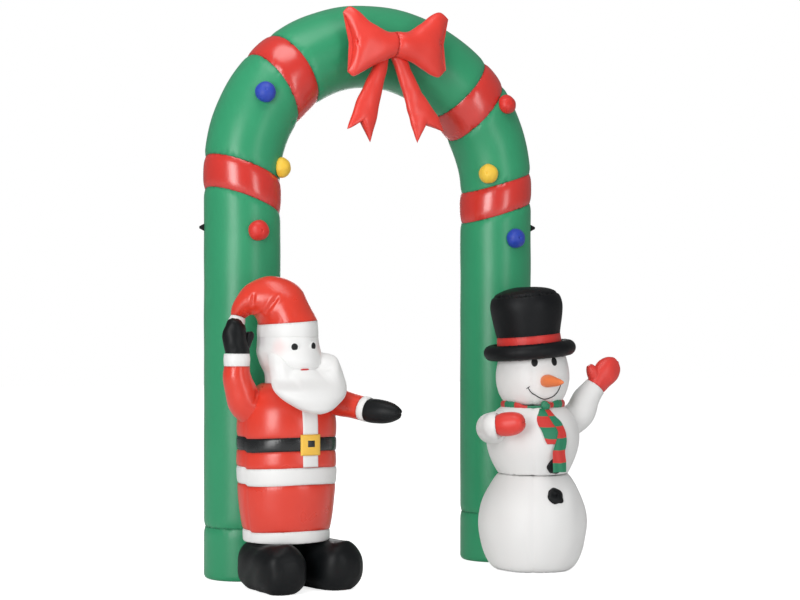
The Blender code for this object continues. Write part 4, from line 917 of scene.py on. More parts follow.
# Name, height of its lower seam, cloth and slot, from the boots up to the neck.
BANDS = (
    ("figure_trouser_hem", 0.187, WHITE_CLOTH, "white_cloth"),
    ("figure_trousers", 0.226, SUIT_CLOTH, "red_cloth"),
    ("figure_coat_hem", 0.406, WHITE_CLOTH, "white_cloth"),
    ("figure_coat_skirt", 0.472, SUIT_CLOTH, "red_cloth"),
    ("figure_belt", 0.536, BELT_CLOTH, "black_cloth"),
    ("figure_coat_chest", 0.589, SUIT_CLOTH, "red_cloth"),
    ("figure_head", 0.802, None, None),
)
ARMPIT_FOLDS = [
    ((-0.150, -0.072, 0.752), (-0.110, -0.140, 0.720), 0.007, 0.0040, True),
    ((-0.152, -0.082, 0.730), (-0.112, -0.150, 0.700), 0.007, 0.0034, True),
    ((-0.146, -0.060, 0.768), (-0.100, -0.128, 0.748), 0.006, 0.0026, True),
    ((0.150, -0.080, 0.745), (0.105, -0.150, 0.715), 0.007, 0.0034, True),
    ((0.150, -0.090, 0.722), (0.110, -0.158, 0.690), 0.007, 0.0028, True),
]


def side_step(angle):
    """1 on the back half of the body and 0 on its front, with a quick step at each side seam."""
    degrees = (np.degrees(angle) + 180) % 360 - 180
    left, right = (np.clip((degrees - seam) / 5 + 0.5, 0, 1) for seam in SIDE_SEAMS)
    return 1 - left * (1 - right)


def body_ring(z, swell):
    """Points of the body at given heights, round the whole body."""
    wide, deep = (np.interp(z, GIRTH[:, 0], GIRTH[:, k]) + swell for k in (1, 2))
    return np.stack([wide * np.cos(BODY_ANGLE), deep * np.sin(BODY_ANGLE), z], -1)


for i, (name, low, material, slot) in enumerate(BANDS[:-1]):
    high = BANDS[i + 1][1]
    share = stations(high - low, 0.008)[:, None]
    z = low + GAP / 2 + (high - low - GAP) * share + 0 * BODY_ANGLE[None]
    step = STEP_AT_SEAM * side_step(BODY_ANGLE)[None]
    rise = RISE_IN_FRONT * np.clip(-np.sin(BODY_ANGLE), 0, 1)[None] ** 2
    z = z + (step + rise) * (share if i == 0 else 1) * (1 - share if i == len(BANDS) - 2 else 1)
    edge = np.minimum(share, 1 - share) * (high - low)
    swell = PUFF * (1 - (2 * share - 1) ** 4) - drawn_in(edge, 0.0012, 0.007, 0.0009)
    for seam in SIDE_SEAMS:
        gap = np.abs(np.angle(np.exp(1j * (BODY_ANGLE - math.radians(seam)))))[None] * MEAN_GIRTH
        swell = swell - groove(gap, 0.0025)
    rings = body_ring(z, swell)
    folds = gathers_first(rings, 16, 0.022, 401 + i, 0.006, 0.0010)
    folds += gathers_last(rings, 16, 0.022, 421 + i, 0.006, 0.0010)
    if name == "figure_coat_chest":
        folds += ARMPIT_FOLDS
    rings = uneven(pressed(rings, folds), 0.0010, 0.16, 441 + i)
    skin(name + "_cloth", beside_tube(rings + FIGURE), material, slot, name)


# The coat's white front strip and the yellow buckle are flat cloth patches over thin wadding, laid
# on the body and stitched round their edges. The buckle has a black square sewn in its middle.

BUCKLE_CLOTH = coated_cloth("buckle_cloth", linear(246, 196, 74), gloss=0.5, slack=0.0004)
PATCH_X, PATCH_LIFT, STRIP_THICK = 0.016, 0.0002, 0.0034
BUCKLE_HALF, BUCKLE_LOW, BUCKLE_HIGH = 0.043, 0.527, 0.608
STRIP_HALF, STRIP_LOW, STRIP_TOP = 0.033, 0.4825, 0.745


def patch(name, x_range, z_range, lift, thick, material, slot, *nodes, swell=0.0, columns=26, rows=26):
    """A thin closed patch that follows the front of the body, lift above it, a little plump."""
    x = np.linspace(*x_range, columns)
    edge = np.minimum(np.linspace(0, 1, columns), np.linspace(1, 0, columns)) * (x_range[1] - x_range[0])
    rings = []
    for share in np.linspace(0, 1, rows):
        z = z_range[0] + (z_range[1] - z_range[0]) * share
        wide, deep = (np.interp(z, GIRTH[:, 0], GIRTH[:, k]) + PUFF for k in (1, 2))
        near = np.minimum(edge, min(share, 1 - share) * (z_range[1] - z_range[0]))
        plump = thick * (1 - 0.75 * np.exp(-near / 0.0022)) + swell * np.minimum(1, near / 0.02)
        inner = -np.sqrt(1 - (x / (wide + lift)) ** 2) * (deep + lift)
        outer = inner - plump
        rings.append([(a, b, z) for a, b in zip([*x, *x[::-1]], [*outer, *inner[::-1]])])
    return skin(name, np.array(rings) + FIGURE, material, slot, *nodes, tuck=0.0, corner=50)


strip_x = (PATCH_X - STRIP_HALF, PATCH_X + STRIP_HALF)
patch("figure_placket_lower_cloth", strip_x, (STRIP_LOW, BUCKLE_LOW - GAP), PATCH_LIFT, STRIP_THICK,
      WHITE_CLOTH, "white_cloth", "figure_placket_lower")
patch("figure_placket_upper_cloth", strip_x, (BUCKLE_HIGH + GAP, STRIP_TOP), PATCH_LIFT, STRIP_THICK,
      WHITE_CLOTH, "white_cloth", "figure_placket_upper", rows=44)
patch("figure_buckle_cloth", (PATCH_X - BUCKLE_HALF, PATCH_X + BUCKLE_HALF), (BUCKLE_LOW, BUCKLE_HIGH),
      PATCH_LIFT, 0.0055, BUCKLE_CLOTH, "yellow_cloth", "figure_buckle", swell=0.002)
patch("figure_buckle_square", (0.000, 0.030), (0.560, 0.585), 0.0076, 0.0010, BELT_CLOTH, "black_cloth",
      columns=14, rows=14)


# The head is a white bag, fuller in front, with a seam that runs down from each cheek to the mouth.
# The beard is a second filled bag, sewn along that seam; it widens at the cheeks and juts forward.

# Rows of x, y, z, half width and half depth.
HEAD = ((0.005, -0.004, 0.8023, 0.089, 0.106), (0.011, -0.018, 0.840, 0.097, 0.142),
        (0.006, -0.028, 0.880, 0.115, 0.156), (0, -0.022, 0.920, 0.1225, 0.151),
        (0, -0.014, 0.952, 0.1185, 0.1455), (0, -0.010, 0.9828, 0.117, 0.143))
HEAD_ROWS = spread(HEAD, 60)
PINK, SHADOW_GREY = linear(238, 204, 202), linear(196, 188, 192)
# Place, colour, inner and outer radius and weight. The pink blushes are dyed on the cheeks; the grey mark is
# a painted shadow.
BLUSHES_AND_SHADOW = (
    ((-0.0867, -0.1196, 0.944), PINK, 0.006, 0.050, 0.5),
    ((0.0867, -0.1196, 0.934), PINK, 0.006, 0.050, 0.5),
    # Painted shadow: a soft grey shade in front of the left ear.
    ((-0.1175, -0.019, 0.971), SHADOW_GREY, 0.004, 0.046, 0.4),
)
TEMPLE_FOLDS = [((x, -0.030, 1.020), (x, -0.030, 0.900), 0.016, 0.0014, False) for x in (-0.121, 0.121)]


def draw_blush_and_shadow(tree, given):
    """A soft round mask about one point, used for the dyed blushes and for the painted shadow."""
    off = wire(tree, "ShaderNodeVectorMath", {0: given["Place"], 1: given["Centre"]}, operation="DISTANCE")
    return wire(tree, "ShaderNodeMapRange", {
        "Value": off.outputs["Value"], "From Min": given["Inner"], "From Max": given["Outer"],
        "To Min": 1.0, "To Max": 0.0}, interpolation_type="SMOOTHSTEP").outputs[0]


BLUSH_AND_SHADOW_MASK = effect("soft_blush_and_shadow", draw_blush_and_shadow, "Mask", Place=None, Centre=None, Inner=0.01, Outer=0.04)


def blushed_and_shaded(tree, place, cut, tone):
    """White cloth with a pale pink blush dyed on each cheek and a painted grey shadow in front of one ear."""
    for at, colour, inner, outer, weight in BLUSHES_AND_SHADOW:
        mask = used(tree, BLUSH_AND_SHADOW_MASK, Place=place, Centre=tuple(np.array(at) + FIGURE), Inner=inner, Outer=outer)
        tone = either(tree, maths(tree, "MULTIPLY", mask, weight), tone, colour)
    return tone


# Face cloth: dyed blushes, a painted shadow by the ear and painted shade in its seams.
FACE_CLOTH = coated_cloth("face_cloth", linear(233, 233, 232), gloss=0.48, slack=0.0005, amount=0.03,
                          groove=0.10, paint=blushed_and_shaded)
rings = along_path(HEAD, 60, 120, level=1.0)
level = np.broadcast_to(HEAD_ROWS[:, 2:3], rings.shape[:2])
rings = np.stack([rings[..., 0], rings[..., 1], level], -1)
rings = uneven(pressed(rings, TEMPLE_FOLDS), 0.0012, 0.10, 501)
skin("figure_head_cloth", beside_tube(rings + FIGURE), FACE_CLOTH, "white_cloth", "figure_head",
     seams=(True, False))

# Height, middle, half width and half depth.
BEARD = ((0.934, -0.112, 0.128, 0.066), (0.915, -0.122, 0.149, 0.078), (0.875, -0.140, 0.158, 0.086),
         (0.833, -0.164, 0.161, 0.085), (0.790, -0.205, 0.1535, 0.080), (0.752, -0.238, 0.130, 0.072),
         (0.717, -0.256, 0.084, 0.055), (0.700, -0.264, 0.050, 0.040), (0.691, -0.268, 0.018, 0.016))
# Heights of the seam between face and beard, at distances from the middle of the face.
SEAM_X, SEAM_Z = [0, 0.060, 0.080, 0.100, 0.122, 0.150], [0.857, 0.858, 0.864, 0.879, 0.905, 0.926]
# How quickly the beard fills out below the seam, across the face.
CHEEK_X, CHEEK_ROUND = [-0.14, -0.06, 0.06, 0.14], [0.130, 0.036, 0.026, 0.008]
BEARD_SQUARE, BEARD_LIFT, SEWN_DEPTH, LOOSE_BELOW, LOOSE_OVER = 0.90, 0.0008, 0.004, 0.770, 0.055
HEAD_LOW, HEAD_HIGH = 0.81, 0.98
BEARD_CREASES = [((0.020, -0.205, 0.852), (0.150, -0.190, 0.862), 0.010, 0.0022, False),
                 ((-0.020, -0.205, 0.852), (-0.085, -0.200, 0.856), 0.010, 0.0010, False)]
rows = spread(BEARD, 80)
angle = round_angles(140)[None]
cos, sin = (np.sign(f(angle)) * np.abs(f(angle)) ** BEARD_SQUARE for f in (np.cos, np.sin))
x = rows[:, 2:3] * cos
y = rows[:, 1:2] + rows[:, 3:4] * sin
z = rows[:, :1] + 0 * angle
level = np.clip(z, HEAD_LOW, HEAD_HIGH)
core_x, core_y, head_wide, head_deep = (np.interp(level, HEAD_ROWS[:, 2], HEAD_ROWS[:, k])
                                        for k in (0, 1, 3, 4))
way = np.arctan2(y - core_y, x - core_x)
far = np.hypot(x - core_x, y - core_y)
face_at = head_wide * head_deep / np.hypot(head_deep * np.cos(way), head_wide * np.sin(way))
below = np.interp(np.abs(x), SEAM_X, SEAM_Z) - z
full = 1 - np.exp(-np.maximum(below, 0) / np.interp(x, CHEEK_X, CHEEK_ROUND))
under = face_at - SEWN_DEPTH
grown = np.where(below > 0, face_at + BEARD_LIFT + (far - face_at) * full,
                 under - 0.3 * np.maximum(-below - SEWN_DEPTH, 0))
share = np.clip((z - LOOSE_BELOW) / LOOSE_OVER, 0, 1)
share = share * share * (3 - 2 * share)
far = far + (np.minimum(far, np.where(far > face_at, grown, under)) - far) * share
rings = np.stack([core_x + far * np.cos(way), core_y + far * np.sin(way), z], -1)
rings = uneven(pressed(rings, BEARD_CREASES), 0.0016, 0.12, 511)
skin("figure_beard_cloth", rings + FIGURE, WHITE_CLOTH, "white_cloth", "figure_beard", **UNSEWN)


# The hat: a stuffed white brim that runs on from the head, a red cap that flops over to one side in
# two creases, and a white tip.

# Rows of x, y, z, half width, half depth and degrees of lean.
BRIM = ((0, -0.010, 0.9832, 0.1171, 0.1431, 0.0), (0, -0.009, 1.011, 0.1172, 0.1430, 2.35),
        (0, -0.007, 1.0398, 0.1150, 0.1400, 4.7))
HAT = ((0.001, -0.007, 1.0402, 0.1125, 0.1362, 4.7), (-0.009, -0.006, 1.0625, 0.1062, 0.1285, 11.0),
       (-0.025, -0.003, 1.095, 0.1032, 0.1220, 19.3), (-0.051, 0.002, 1.132, 0.1029, 0.1080, 38.0),
       (-0.101, 0.012, 1.1466, 0.0863, 0.0860, 62.5), (-0.143, 0.024, 1.132, 0.0620, 0.0640, 90.0),
       (-0.171, 0.036, 1.104, 0.0442, 0.0460, 121.0), (-0.183, 0.046, 1.0712, 0.0323, 0.0330, 156.5),
       (-0.185, 0.050, 1.0616, 0.0286, 0.0280, 163.5))
HAT_CREASES = [
    ((-0.119, -0.052, 1.066), (-0.079, -0.099, 1.147), 0.012, 0.010, False),
    ((-0.156, -0.024, 1.100), (-0.156, -0.034, 1.158), 0.010, 0.007, False),
    ((-0.100, -0.058, 1.060), (-0.066, -0.094, 1.132), 0.010, -0.003, False),
    ((-0.108, 0.050, 1.052), (-0.080, 0.090, 1.140), 0.013, 0.009, False),
]
DROP = np.array((-0.284, 0.0, -0.9588))
# Distance along the drop, and radius.
TIP = ((GAP, 0.0286), (0.014, 0.0325), (0.030, 0.033), (0.046, 0.027), (0.056, 0.016), (0.061, 0.006))


def leaning(rows, count, columns):
    """Rings through rows of x, y, z, half width, half depth and degrees that each leans about Y."""
    rows = spread(rows, count)
    x, y, z, wide, deep, lean = (rows[:, k:k + 1] for k in range(6))
    angle = round_angles(columns)[None]
    off, lean = wide * np.cos(angle), np.radians(lean)
    return np.stack([x + off * np.cos(lean), y + deep * np.sin(angle), z + off * np.sin(lean)], -1)


rings = uneven(pressed(leaning(BRIM, 26, 120), TEMPLE_FOLDS), 0.0012, 0.10, 501)
rings = pressed(rings, gathers_last(rings, 26, 0.018, 522, 0.005, 0.0010))
skin("figure_hat_brim_cloth", beside_tube(rings + FIGURE), WHITE_CLOTH, "white_cloth", "figure_hat_brim",
     seams=(False, True), tuck=0.0)
rings = leaning(HAT, 84, 120)
folds = HAT_CREASES + gathers_first(rings, 22, 0.030, 531, 0.006, 0.0018)
rings = pressed(rings, folds + gathers_last(rings, 12, 0.026, 532, 0.004, 0.0022))
rings = uneven(rings, 0.0020, 0.11, 533)
skin("figure_hat_cloth", beside_tube(rings + FIGURE), SUIT_CLOTH, "red_cloth", "figure_hat")
rings = along_path([(*(np.array(HAT[-1][:3]) + DROP * run), wide, wide) for run, wide in TIP], 28, 64)
rings = pressed(rings, gathers_first(rings, 10, 0.022, 541, 0.004, 0.0018))
skin("figure_hat_tip_cloth", beside_tube(rings + FIGURE), WHITE_CLOTH, "white_cloth", "figure_hat_tip",
     seams=(True, False))


# The figure's arms: filled red sleeves sewn into the armholes, short white cuffs and black mittens.
# One arm waves and the other is held out; the waving mitten has a thumb.

# Rows of x, y, z and radius.
WAVE = ((-0.105, -0.002, 0.700, 0.072), (-0.150, -0.006, 0.708, 0.072), (-0.188, -0.014, 0.740, 0.066),
        (-0.210, -0.020, 0.790, 0.059), (-0.222, -0.024, 0.835, 0.0535), (-0.222, -0.024, 0.8698, 0.0495))
WAVE_FOLDS = (((-0.150, -0.060, 0.775), (-0.175, -0.075, 0.730), 0.009, 0.006, False),
              ((-0.160, -0.040, 0.795), (-0.200, -0.070, 0.760), 0.010, 0.004, False))
WRIST_X, WRIST_Y = -0.222, -0.024
WAVE_CUFF = [(WRIST_X, WRIST_Y, z, radius)
             for z, radius in ((0.8702, 0.0495), (0.894, 0.0515), (0.9178, 0.0495))]
ARM_WAY, HAND_WAY = (unit(np.array((0.4746, -0.8753, drop))) for drop in (-0.190, -0.065))
CUFF_END = np.array((0.2134, -0.2390, 0.7065))
CUFF_LONG, KNUCKLE = 0.030, 0.016
HAND_START = CUFF_END + ARM_WAY * CUFF_LONG
# Rows of x, z, half width and half depth.
PALM = ((WRIST_X, 0.9182, 0.0480, 0.0420), (WRIST_X, 0.934, 0.0490, 0.0425), (-0.228, 0.965, 0.0485, 0.0412),
        (-0.230, 0.988, 0.0479, 0.0405), (-0.231, 1.011, 0.0439, 0.0373), (-0.2317, 1.031, 0.0365, 0.0310),
        (-0.229, 1.046, 0.0248, 0.0210), (-0.228, 1.054, 0.0110, 0.0110))
THUMB = ((-0.194, 0.938, 0.0210, 0.0240), (-0.179, 0.965, 0.0205, 0.0240), (-0.1715, 0.985, 0.0185, 0.0215),
         (-0.169, 0.998, 0.0150, 0.0170), (-0.1685, 1.004, 0.0080, 0.0100))


def on_line(start, way, *rows):
    """Rows of distance from start along way and radius, as places and radii."""
    return [(*(start + way * run), radius, radius) for run, radius in rows]


def filled_limb(name, rows, count, material, slot, seed, folds=(), first=10, last=8, deep=0.0018,
                seams=(True, True), base=FIGURE):
    """A filled sleeve, cuff or mitten, with first and last gathers in its two seams."""
    rings = along_path(rows, count, 80)
    folds = list(folds) + gathers_first(rings, first, 0.030, seed, 0.006, deep)
    folds += gathers_last(rings, last, 0.022, seed + 1, 0.005, deep)
    rings = uneven(pressed(rings, folds), 0.0014, 0.10, seed + 2)
    return skin(name + "_cloth", beside_tube(rings + base), material, slot, name, seams=seams)


def mitten(name, palm, thumb, material, slot, base, seed):
    """A filled mitten: palm and thumb are one bag, so the two skins are joined into one."""
    forms = []
    for label, rows, count, columns in (("palm", palm, 48, 80), ("thumb", thumb, 30, 48)):
        rings = along_path(rows, count, columns)
        folds = gathers_first(rings, 9, 0.030, seed, 0.005, 0.0026)
        folds += gathers_last(rings, 8, 0.024, seed + 1, 0.004, 0.0020)
        rings = uneven(pressed(rings, folds), 0.0018, 0.06, seed + 2)
        forms.append(skin(name + "_" + label, rings + base, material, slot, tuck=0.0, fill=None,
                          seams=(label == "palm", False)))
    whole, part = forms
    join = whole.modifiers.new("join", "BOOLEAN")
    join.operation, join.solver, join.object = "UNION", "EXACT", part
    mesh = bpy.data.meshes.new_from_object(whole.evaluated_get(bpy.context.evaluated_depsgraph_get()))
    for form in forms:
        bpy.data.objects.remove(form, do_unlink=True)
    mesh.name = name + "_cloth"
    return sewn_on(name + "_cloth", mesh, material, [name])


filled_limb("figure_sleeve_left", WAVE, 64, SUIT_CLOTH, "red_cloth", 601, folds=WAVE_FOLDS)
filled_limb("figure_cuff_left", WAVE_CUFF, 22, WHITE_CLOTH, "white_cloth", 611, deep=0.0010)
rows = on_line(CUFF_END, ARM_WAY, (-0.215, 0.058), (-0.140, 0.054), (-0.070, 0.0500), (-GAP / 2, 0.0466))
filled_limb("figure_sleeve_right", rows, 60, SUIT_CLOTH, "red_cloth", 621, seams=(False, True))
rows = on_line(CUFF_END, ARM_WAY, (GAP / 2, 0.0466), (CUFF_LONG / 2, 0.0490), (CUFF_LONG - GAP / 2, 0.0462))
filled_limb("figure_cuff_right", rows, 20, WHITE_CLOTH, "white_cloth", 631, deep=0.0010)
rows = on_line(HAND_START, ARM_WAY, (GAP / 2, 0.0455), (KNUCKLE, 0.0468))
rows += on_line(HAND_START + ARM_WAY * KNUCKLE, HAND_WAY, (0.019, 0.0471), (0.044, 0.0456), (0.066, 0.0425),
                (0.092, 0.0353), (0.118, 0.0228), (0.126, 0.0152))
filled_limb("figure_mitten_right", rows, 56, BLACK_CLOTH, "black_cloth", 641, first=16, last=16, deep=0.0034,
            seams=(True, False))
palm, thumb = ([(x, WRIST_Y, *rest) for x, *rest in table] for table in (PALM, THUMB))
mitten("figure_mitten_left", palm, thumb, BLACK_CLOTH, "black_cloth", FIGURE, 651)


# The bearded figure's face: flat round eyes of black cloth on white rings, and a short red mouth,
# each cut out and stitched down.

GLOSS_BLACK = coated_cloth("eye_cloth", linear(24, 25, 27), gloss=0.3, slack=0.0, gather=0.0, sheen=0.0)
LIP_CLOTH = coated_cloth("lip_cloth", linear(200, 40, 44), gloss=0.45, slack=0.0, gather=0.0)
# Share of a disc's size, and of its thickness, from its underside over its edge to its middle.
DISC_EDGE = ((1.0, 0.0), (0.985, 0.45), (0.95, 0.75), (0.86, 0.92), (0.62, 1.0), (0.3, 1.06), (0.06, 1.08))
DISC_SUNK = 0.0030
MOUTH = ((-0.0200, 0.8560), (-0.0120, 0.8568), (-0.0030, 0.8574), (0.0060, 0.8578), (0.0135, 0.8580))
EYE_RING_THICK = 0.0010


def disc(name, centre, way, wide, tall, thick, material, slot, base, columns=40):
    """A cut-out round of cloth that lies on a surface facing way, with a soft edge."""
    way = unit(np.array(way, float))
    side = unit(np.cross((0, 0, 1.0), way))
    up = np.cross(way, side)
    angle = 2 * math.pi * np.arange(columns) / columns
    rings = [[np.array(centre) + side * (wide * share * math.cos(a)) + up * (tall * share * math.sin(a))
              + way * high for a in angle]
             for share, high in ((1.0, -DISC_SUNK), *((share, lift * thick) for share, lift in DISC_EDGE))]
    return skin(name, np.array(rings) + base, material, slot, corner=80, **LAID_ON)


def strand(name, points, radius, material, slot, base, sides=10):
    """A closed round strand through points, thinner at its ends."""
    sizes = np.interp(np.linspace(0, 1, len(points)), [0, 0.06, 0.94, 1], [0.35, 1, 1, 0.35])
    rows = [(*point, radius * size, radius * size) for point, size in zip(points, sizes)]
    rings = along_path(rows, max(24, 6 * len(points)), sides, facing=(0, 1, 0))
    return skin(name, rings + base, material, slot, corner=80, **LAID_ON)


def on_head(x, z, lift=0.0):
    """A point on the front of the bearded head and the way it faces."""
    core, wide, deep = (np.interp(z, HEAD_ROWS[:, 2], HEAD_ROWS[:, k]) for k in (1, 3, 4))
    y = core - deep * math.sqrt(1 - (x / wide) ** 2)
    way = unit(np.array([x / wide ** 2, (y - core) / deep ** 2, 0.0]))
    return np.array([x, y, z]) + way * lift, way


for side, x, z in (("left", -0.0375, 0.944), ("right", 0.0435, 0.9475)):
    place, way = on_head(x, z, 0.0006)
    disc("figure_eye_ring_" + side, place, way, 0.0185, 0.0195, EYE_RING_THICK, WHITE_CLOTH, "white_cloth",
         FIGURE)
    disc("figure_eye_" + side, place + way * EYE_RING_THICK, way, 0.0128, 0.0138, 0.0014, GLOSS_BLACK,
         "black_cloth", FIGURE)
strand("figure_mouth", [on_head(x, z, 0.0022)[0] for x, z in MOUTH], 0.0032, LIP_CLOTH, "red_cloth", FIGURE)


# The snowman: three filled balls of white cloth, one on the other, each pieced from four gores.

middle_low, middle_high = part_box("snowman_middle")
SNOWMAN = np.array([*((middle_low + middle_high) / 2)[:2], 0.0])
WAIST, NECK = 0.407, 0.700
# Rows of radius and height.
BASE_BALL = (
    (0.149, WAIST - GAP / 2), (0.166, 0.385), (0.187, 0.350), (0.208, 0.308), (0.223, 0.260),
    (0.230, 0.205), (0.228, 0.150), (0.217, 0.095), (0.198, 0.048), (0.176, 0.017), (0.150, 0.0),
)
MIDDLE_BALL = (
    (0.116, NECK - GAP / 2), (0.143, 0.684), (0.166, 0.662), (0.185, 0.628), (0.196, 0.585),
    (0.196, 0.540), (0.186, 0.490), (0.169, 0.445), (0.149, WAIST + GAP / 2),
)
HEAD_BALL = (
    (0.112, 0.965), (0.124, 0.950), (0.138, 0.918), (0.149, 0.880), (0.1565, 0.835),
    (0.155, 0.790), (0.144, 0.748), (0.128, 0.718), (0.113, NECK + GAP / 2),
)
GORES, GORE_DEEP, GORE_WIDE, GORE_PUCKERS = 4, 0.0022, 0.0045, 8


def turned(profile, count, columns):
    """Rings of a round form from rows of radius and height, evenly spaced along its side."""
    rows = spread(profile, 400)
    run = run_along(rows)
    place = np.linspace(0, run[-1], count)
    radius, height = (np.interp(place, run, rows[:, k])[:, None] for k in (0, 1))
    angle = round_angles(columns)[None]
    return np.stack([radius * np.cos(angle), radius * np.sin(angle), height + 0 * angle], -1)


def gored(rings, first, seed):
    """Draws in the upright seams of a ball, with short puckers along them."""
    dice = np.random.default_rng(seed)
    angle = np.arctan2(rings[..., 1], rings[..., 0])
    radius = np.hypot(rings[..., 0], rings[..., 1])
    move = np.zeros(radius.shape)
    folds = []
    for k in range(GORES):
        at = math.radians(first + 360 * k / GORES)
        off = np.abs(np.angle(np.exp(1j * (angle - at)))) * radius
        move -= GORE_DEEP * np.exp(-(off / GORE_WIDE) ** 2) + 0.0016 * np.exp(-(off / 0.018) ** 2)
        column = int(np.argmin(off[len(off) // 2]))
        for _ in range(GORE_PUCKERS):
            row = int(dice.integers(4, len(rings) - 4))
            side = (column + int(dice.choice((-1, 1))) * int(dice.integers(4, 9))) % rings.shape[1]
            end = rings[row + int(dice.integers(-2, 3)), side]
            folds.append((rings[row, column], end, 0.005, 0.0012 * dice.uniform(0.4, 1.2), True))
    return pressed(rings + outward(rings) * move[..., None], folds)


for name, profile, rows, columns, first, seed, waves in (
    ("snowman_base", BASE_BALL, 78, 168, -123.0, 701, 0.0020),
    ("snowman_middle", MIDDLE_BALL, 60, 156, -123.0, 702, 0.0016),
    ("snowman_head", HEAD_BALL, 52, 140, -33.0, 703, 0.0012),
):
    rings = turned(profile[::-1], rows, columns)
    edge = np.minimum(rings[..., 2] - rings[0, 0, 2], rings[-1, 0, 2] - rings[..., 2])
    rings = gored(rings, first, seed)
    rings = rings - outward(rings) * (0.0016 * np.exp(-edge / PINCH_REACH))[..., None]
    folds = gathers_last(rings, 30, 0.034, seed + 10, 0.006, 0.0018)
    folds += gathers_first(rings, 30, 0.034, seed + 20, 0.006, 0.0018)
    rings = uneven(pressed(rings, folds), waves, 0.16, seed + 30)
    rings[..., 2] = np.clip(rings[..., 2], profile[-1][1] + GAP / 4, profile[0][1] - GAP / 4)
    skin(name + "_cloth", beside_tube(rings + SNOWMAN), WHITE_CLOTH, "white_cloth", name)


# The snowman's face: oval black eyes, a thin thread smile with a short cross stitch at one end, and a
# stuffed carrot nose of orange cloth sewn to the head.

THREAD_BLACK = coated_cloth("black_thread", linear(24, 24, 26), gloss=0.6, slack=0.0, gather=0.0)
ORANGE_CLOTH = coated_cloth("orange_cloth", linear(240, 128, 70), gloss=0.45, slack=0.0005)
SMILE = ((-0.0990, 0.774), (-0.0860, 0.755), (-0.0690, 0.743), (-0.0500, 0.7325), (-0.0290, 0.726),
         (-0.0080, 0.730), (0.0110, 0.738), (0.0290, 0.757), (0.0420, 0.786))
SMILE_CORNER = ((-0.1040, 0.7690), (-0.0985, 0.7745), (-0.0930, 0.7800))
NOSE_PLACE, NOSE_TILT = (-0.034, -0.127, 0.803), math.radians(92)
SLOPE_STEP = 0.004
# Rows of radius and length.
NOSE = ((0.018, 0.0), (0.024, 0.018), (0.027, 0.040), (0.025, 0.062), (0.020, 0.090), (0.014, 0.118),
        (0.008, 0.140), (0.0035, 0.150))


def by_height(profile):
    """A smooth table of a ball's radius and height, from the bottom up."""
    rows = spread(profile, 200)
    return rows[np.argsort(rows[:, 1])]


def on_ball(profile, x, z, lift=0.0):
    """A point on the front of one of the snowman's balls and the way it faces."""
    radii, heights = by_height(profile).T
    radius = float(np.interp(z, heights, radii))
    above, under = (np.interp(z + step, heights, radii) for step in (SLOPE_STEP, -SLOPE_STEP))
    slope = float(above - under) / (2 * SLOPE_STEP)
    y = -math.sqrt(radius ** 2 - x ** 2)
    way = unit(np.array([x / radius, y / radius, -slope]))
    return np.array([x, y, z]) + way * lift, way


for side, x, z in (("left", -0.0755, 0.8795), ("right", 0.0090, 0.8825)):
    place, way = on_ball(HEAD_BALL, x, z, 0.0004)
    disc("snowman_eye_" + side, place, way, 0.0135, 0.0185, 0.0022, GLOSS_BLACK, "black_cloth", SNOWMAN)
for name, line, radius in (("snowman_smile", spread(SMILE, 26), 0.0021),
                           ("snowman_smile_corner", SMILE_CORNER, 0.0020)):
    points = [on_ball(HEAD_BALL, x, z, 0.0012)[0] for x, z in line]
    strand(name, points, radius, THREAD_BLACK, "black_cloth", SNOWMAN, sides=8)

rings = turned(NOSE, 46, 60)
folds = gathers_first(rings, 12, 0.030, 731, 0.004, 0.0016)
folds += gathers_last(rings, 7, 0.040, 732, 0.004, 0.0012)
rings = uneven(pressed(rings, folds), 0.0012, 0.05, 733)
c, s = math.cos(NOSE_TILT), math.sin(NOSE_TILT)
rings = rings @ np.array([[1, 0, 0], [0, c, -s], [0, s, c]]).T + np.array(NOSE_PLACE)
skin("snowman_nose_cloth", rings + SNOWMAN, ORANGE_CLOTH, "orange_cloth", "snowman_nose", **UNSEWN)


# The top hat leans to one side: a stuffed ring for its brim, a red band, and a tall black crown whose
# flat top is drawn in by a gathered seam.

HAT_LEAN, HAT_SEAT = math.radians(-5.5), np.array((-0.0145, 0.0, 0.930))
HAT_CLOTH = coated_cloth("hat_cloth", linear(14, 16, 19), gloss=0.50, slack=0.0009, sheen=0.0, shine=0.26)
BAND_CLOTH = coated_cloth("hat_band_cloth", linear(214, 48, 42), gloss=0.45, slack=0.0004)
BAND_HEIGHT, CROWN_SEAM_HEIGHT = 0.064, 0.236
BRIM_RADIUS, BRIM_THICK = 0.163, 0.0325
BAND_SIDE = ((0.1335, GAP), (0.1362, 0.020), (0.1362, 0.044), (0.1340, BAND_HEIGHT - GAP / 2))
CROWN_SIDE = (
    (0.136, BAND_HEIGHT + GAP / 2), (0.142, 0.100), (0.148, 0.140), (0.1525, 0.180), (0.150, 0.208),
    (0.1400, 0.231), (0.1200, 0.248), (0.090, 0.260), (0.045, 0.268), (0.012, 0.2695),
)


def on_hat(points):
    """Points of the upright hat, leant and set on the head."""
    c, s = math.cos(HAT_LEAN), math.sin(HAT_LEAN)
    return points @ np.array([[c, 0, s], [0, 1, 0], [-s, 0, c]]).T + HAT_SEAT + SNOWMAN


def evaluated(thing):
    """The mesh that an object's modifiers make."""
    return bpy.data.meshes.new_from_object(thing.evaluated_get(bpy.context.evaluated_depsgraph_get()))


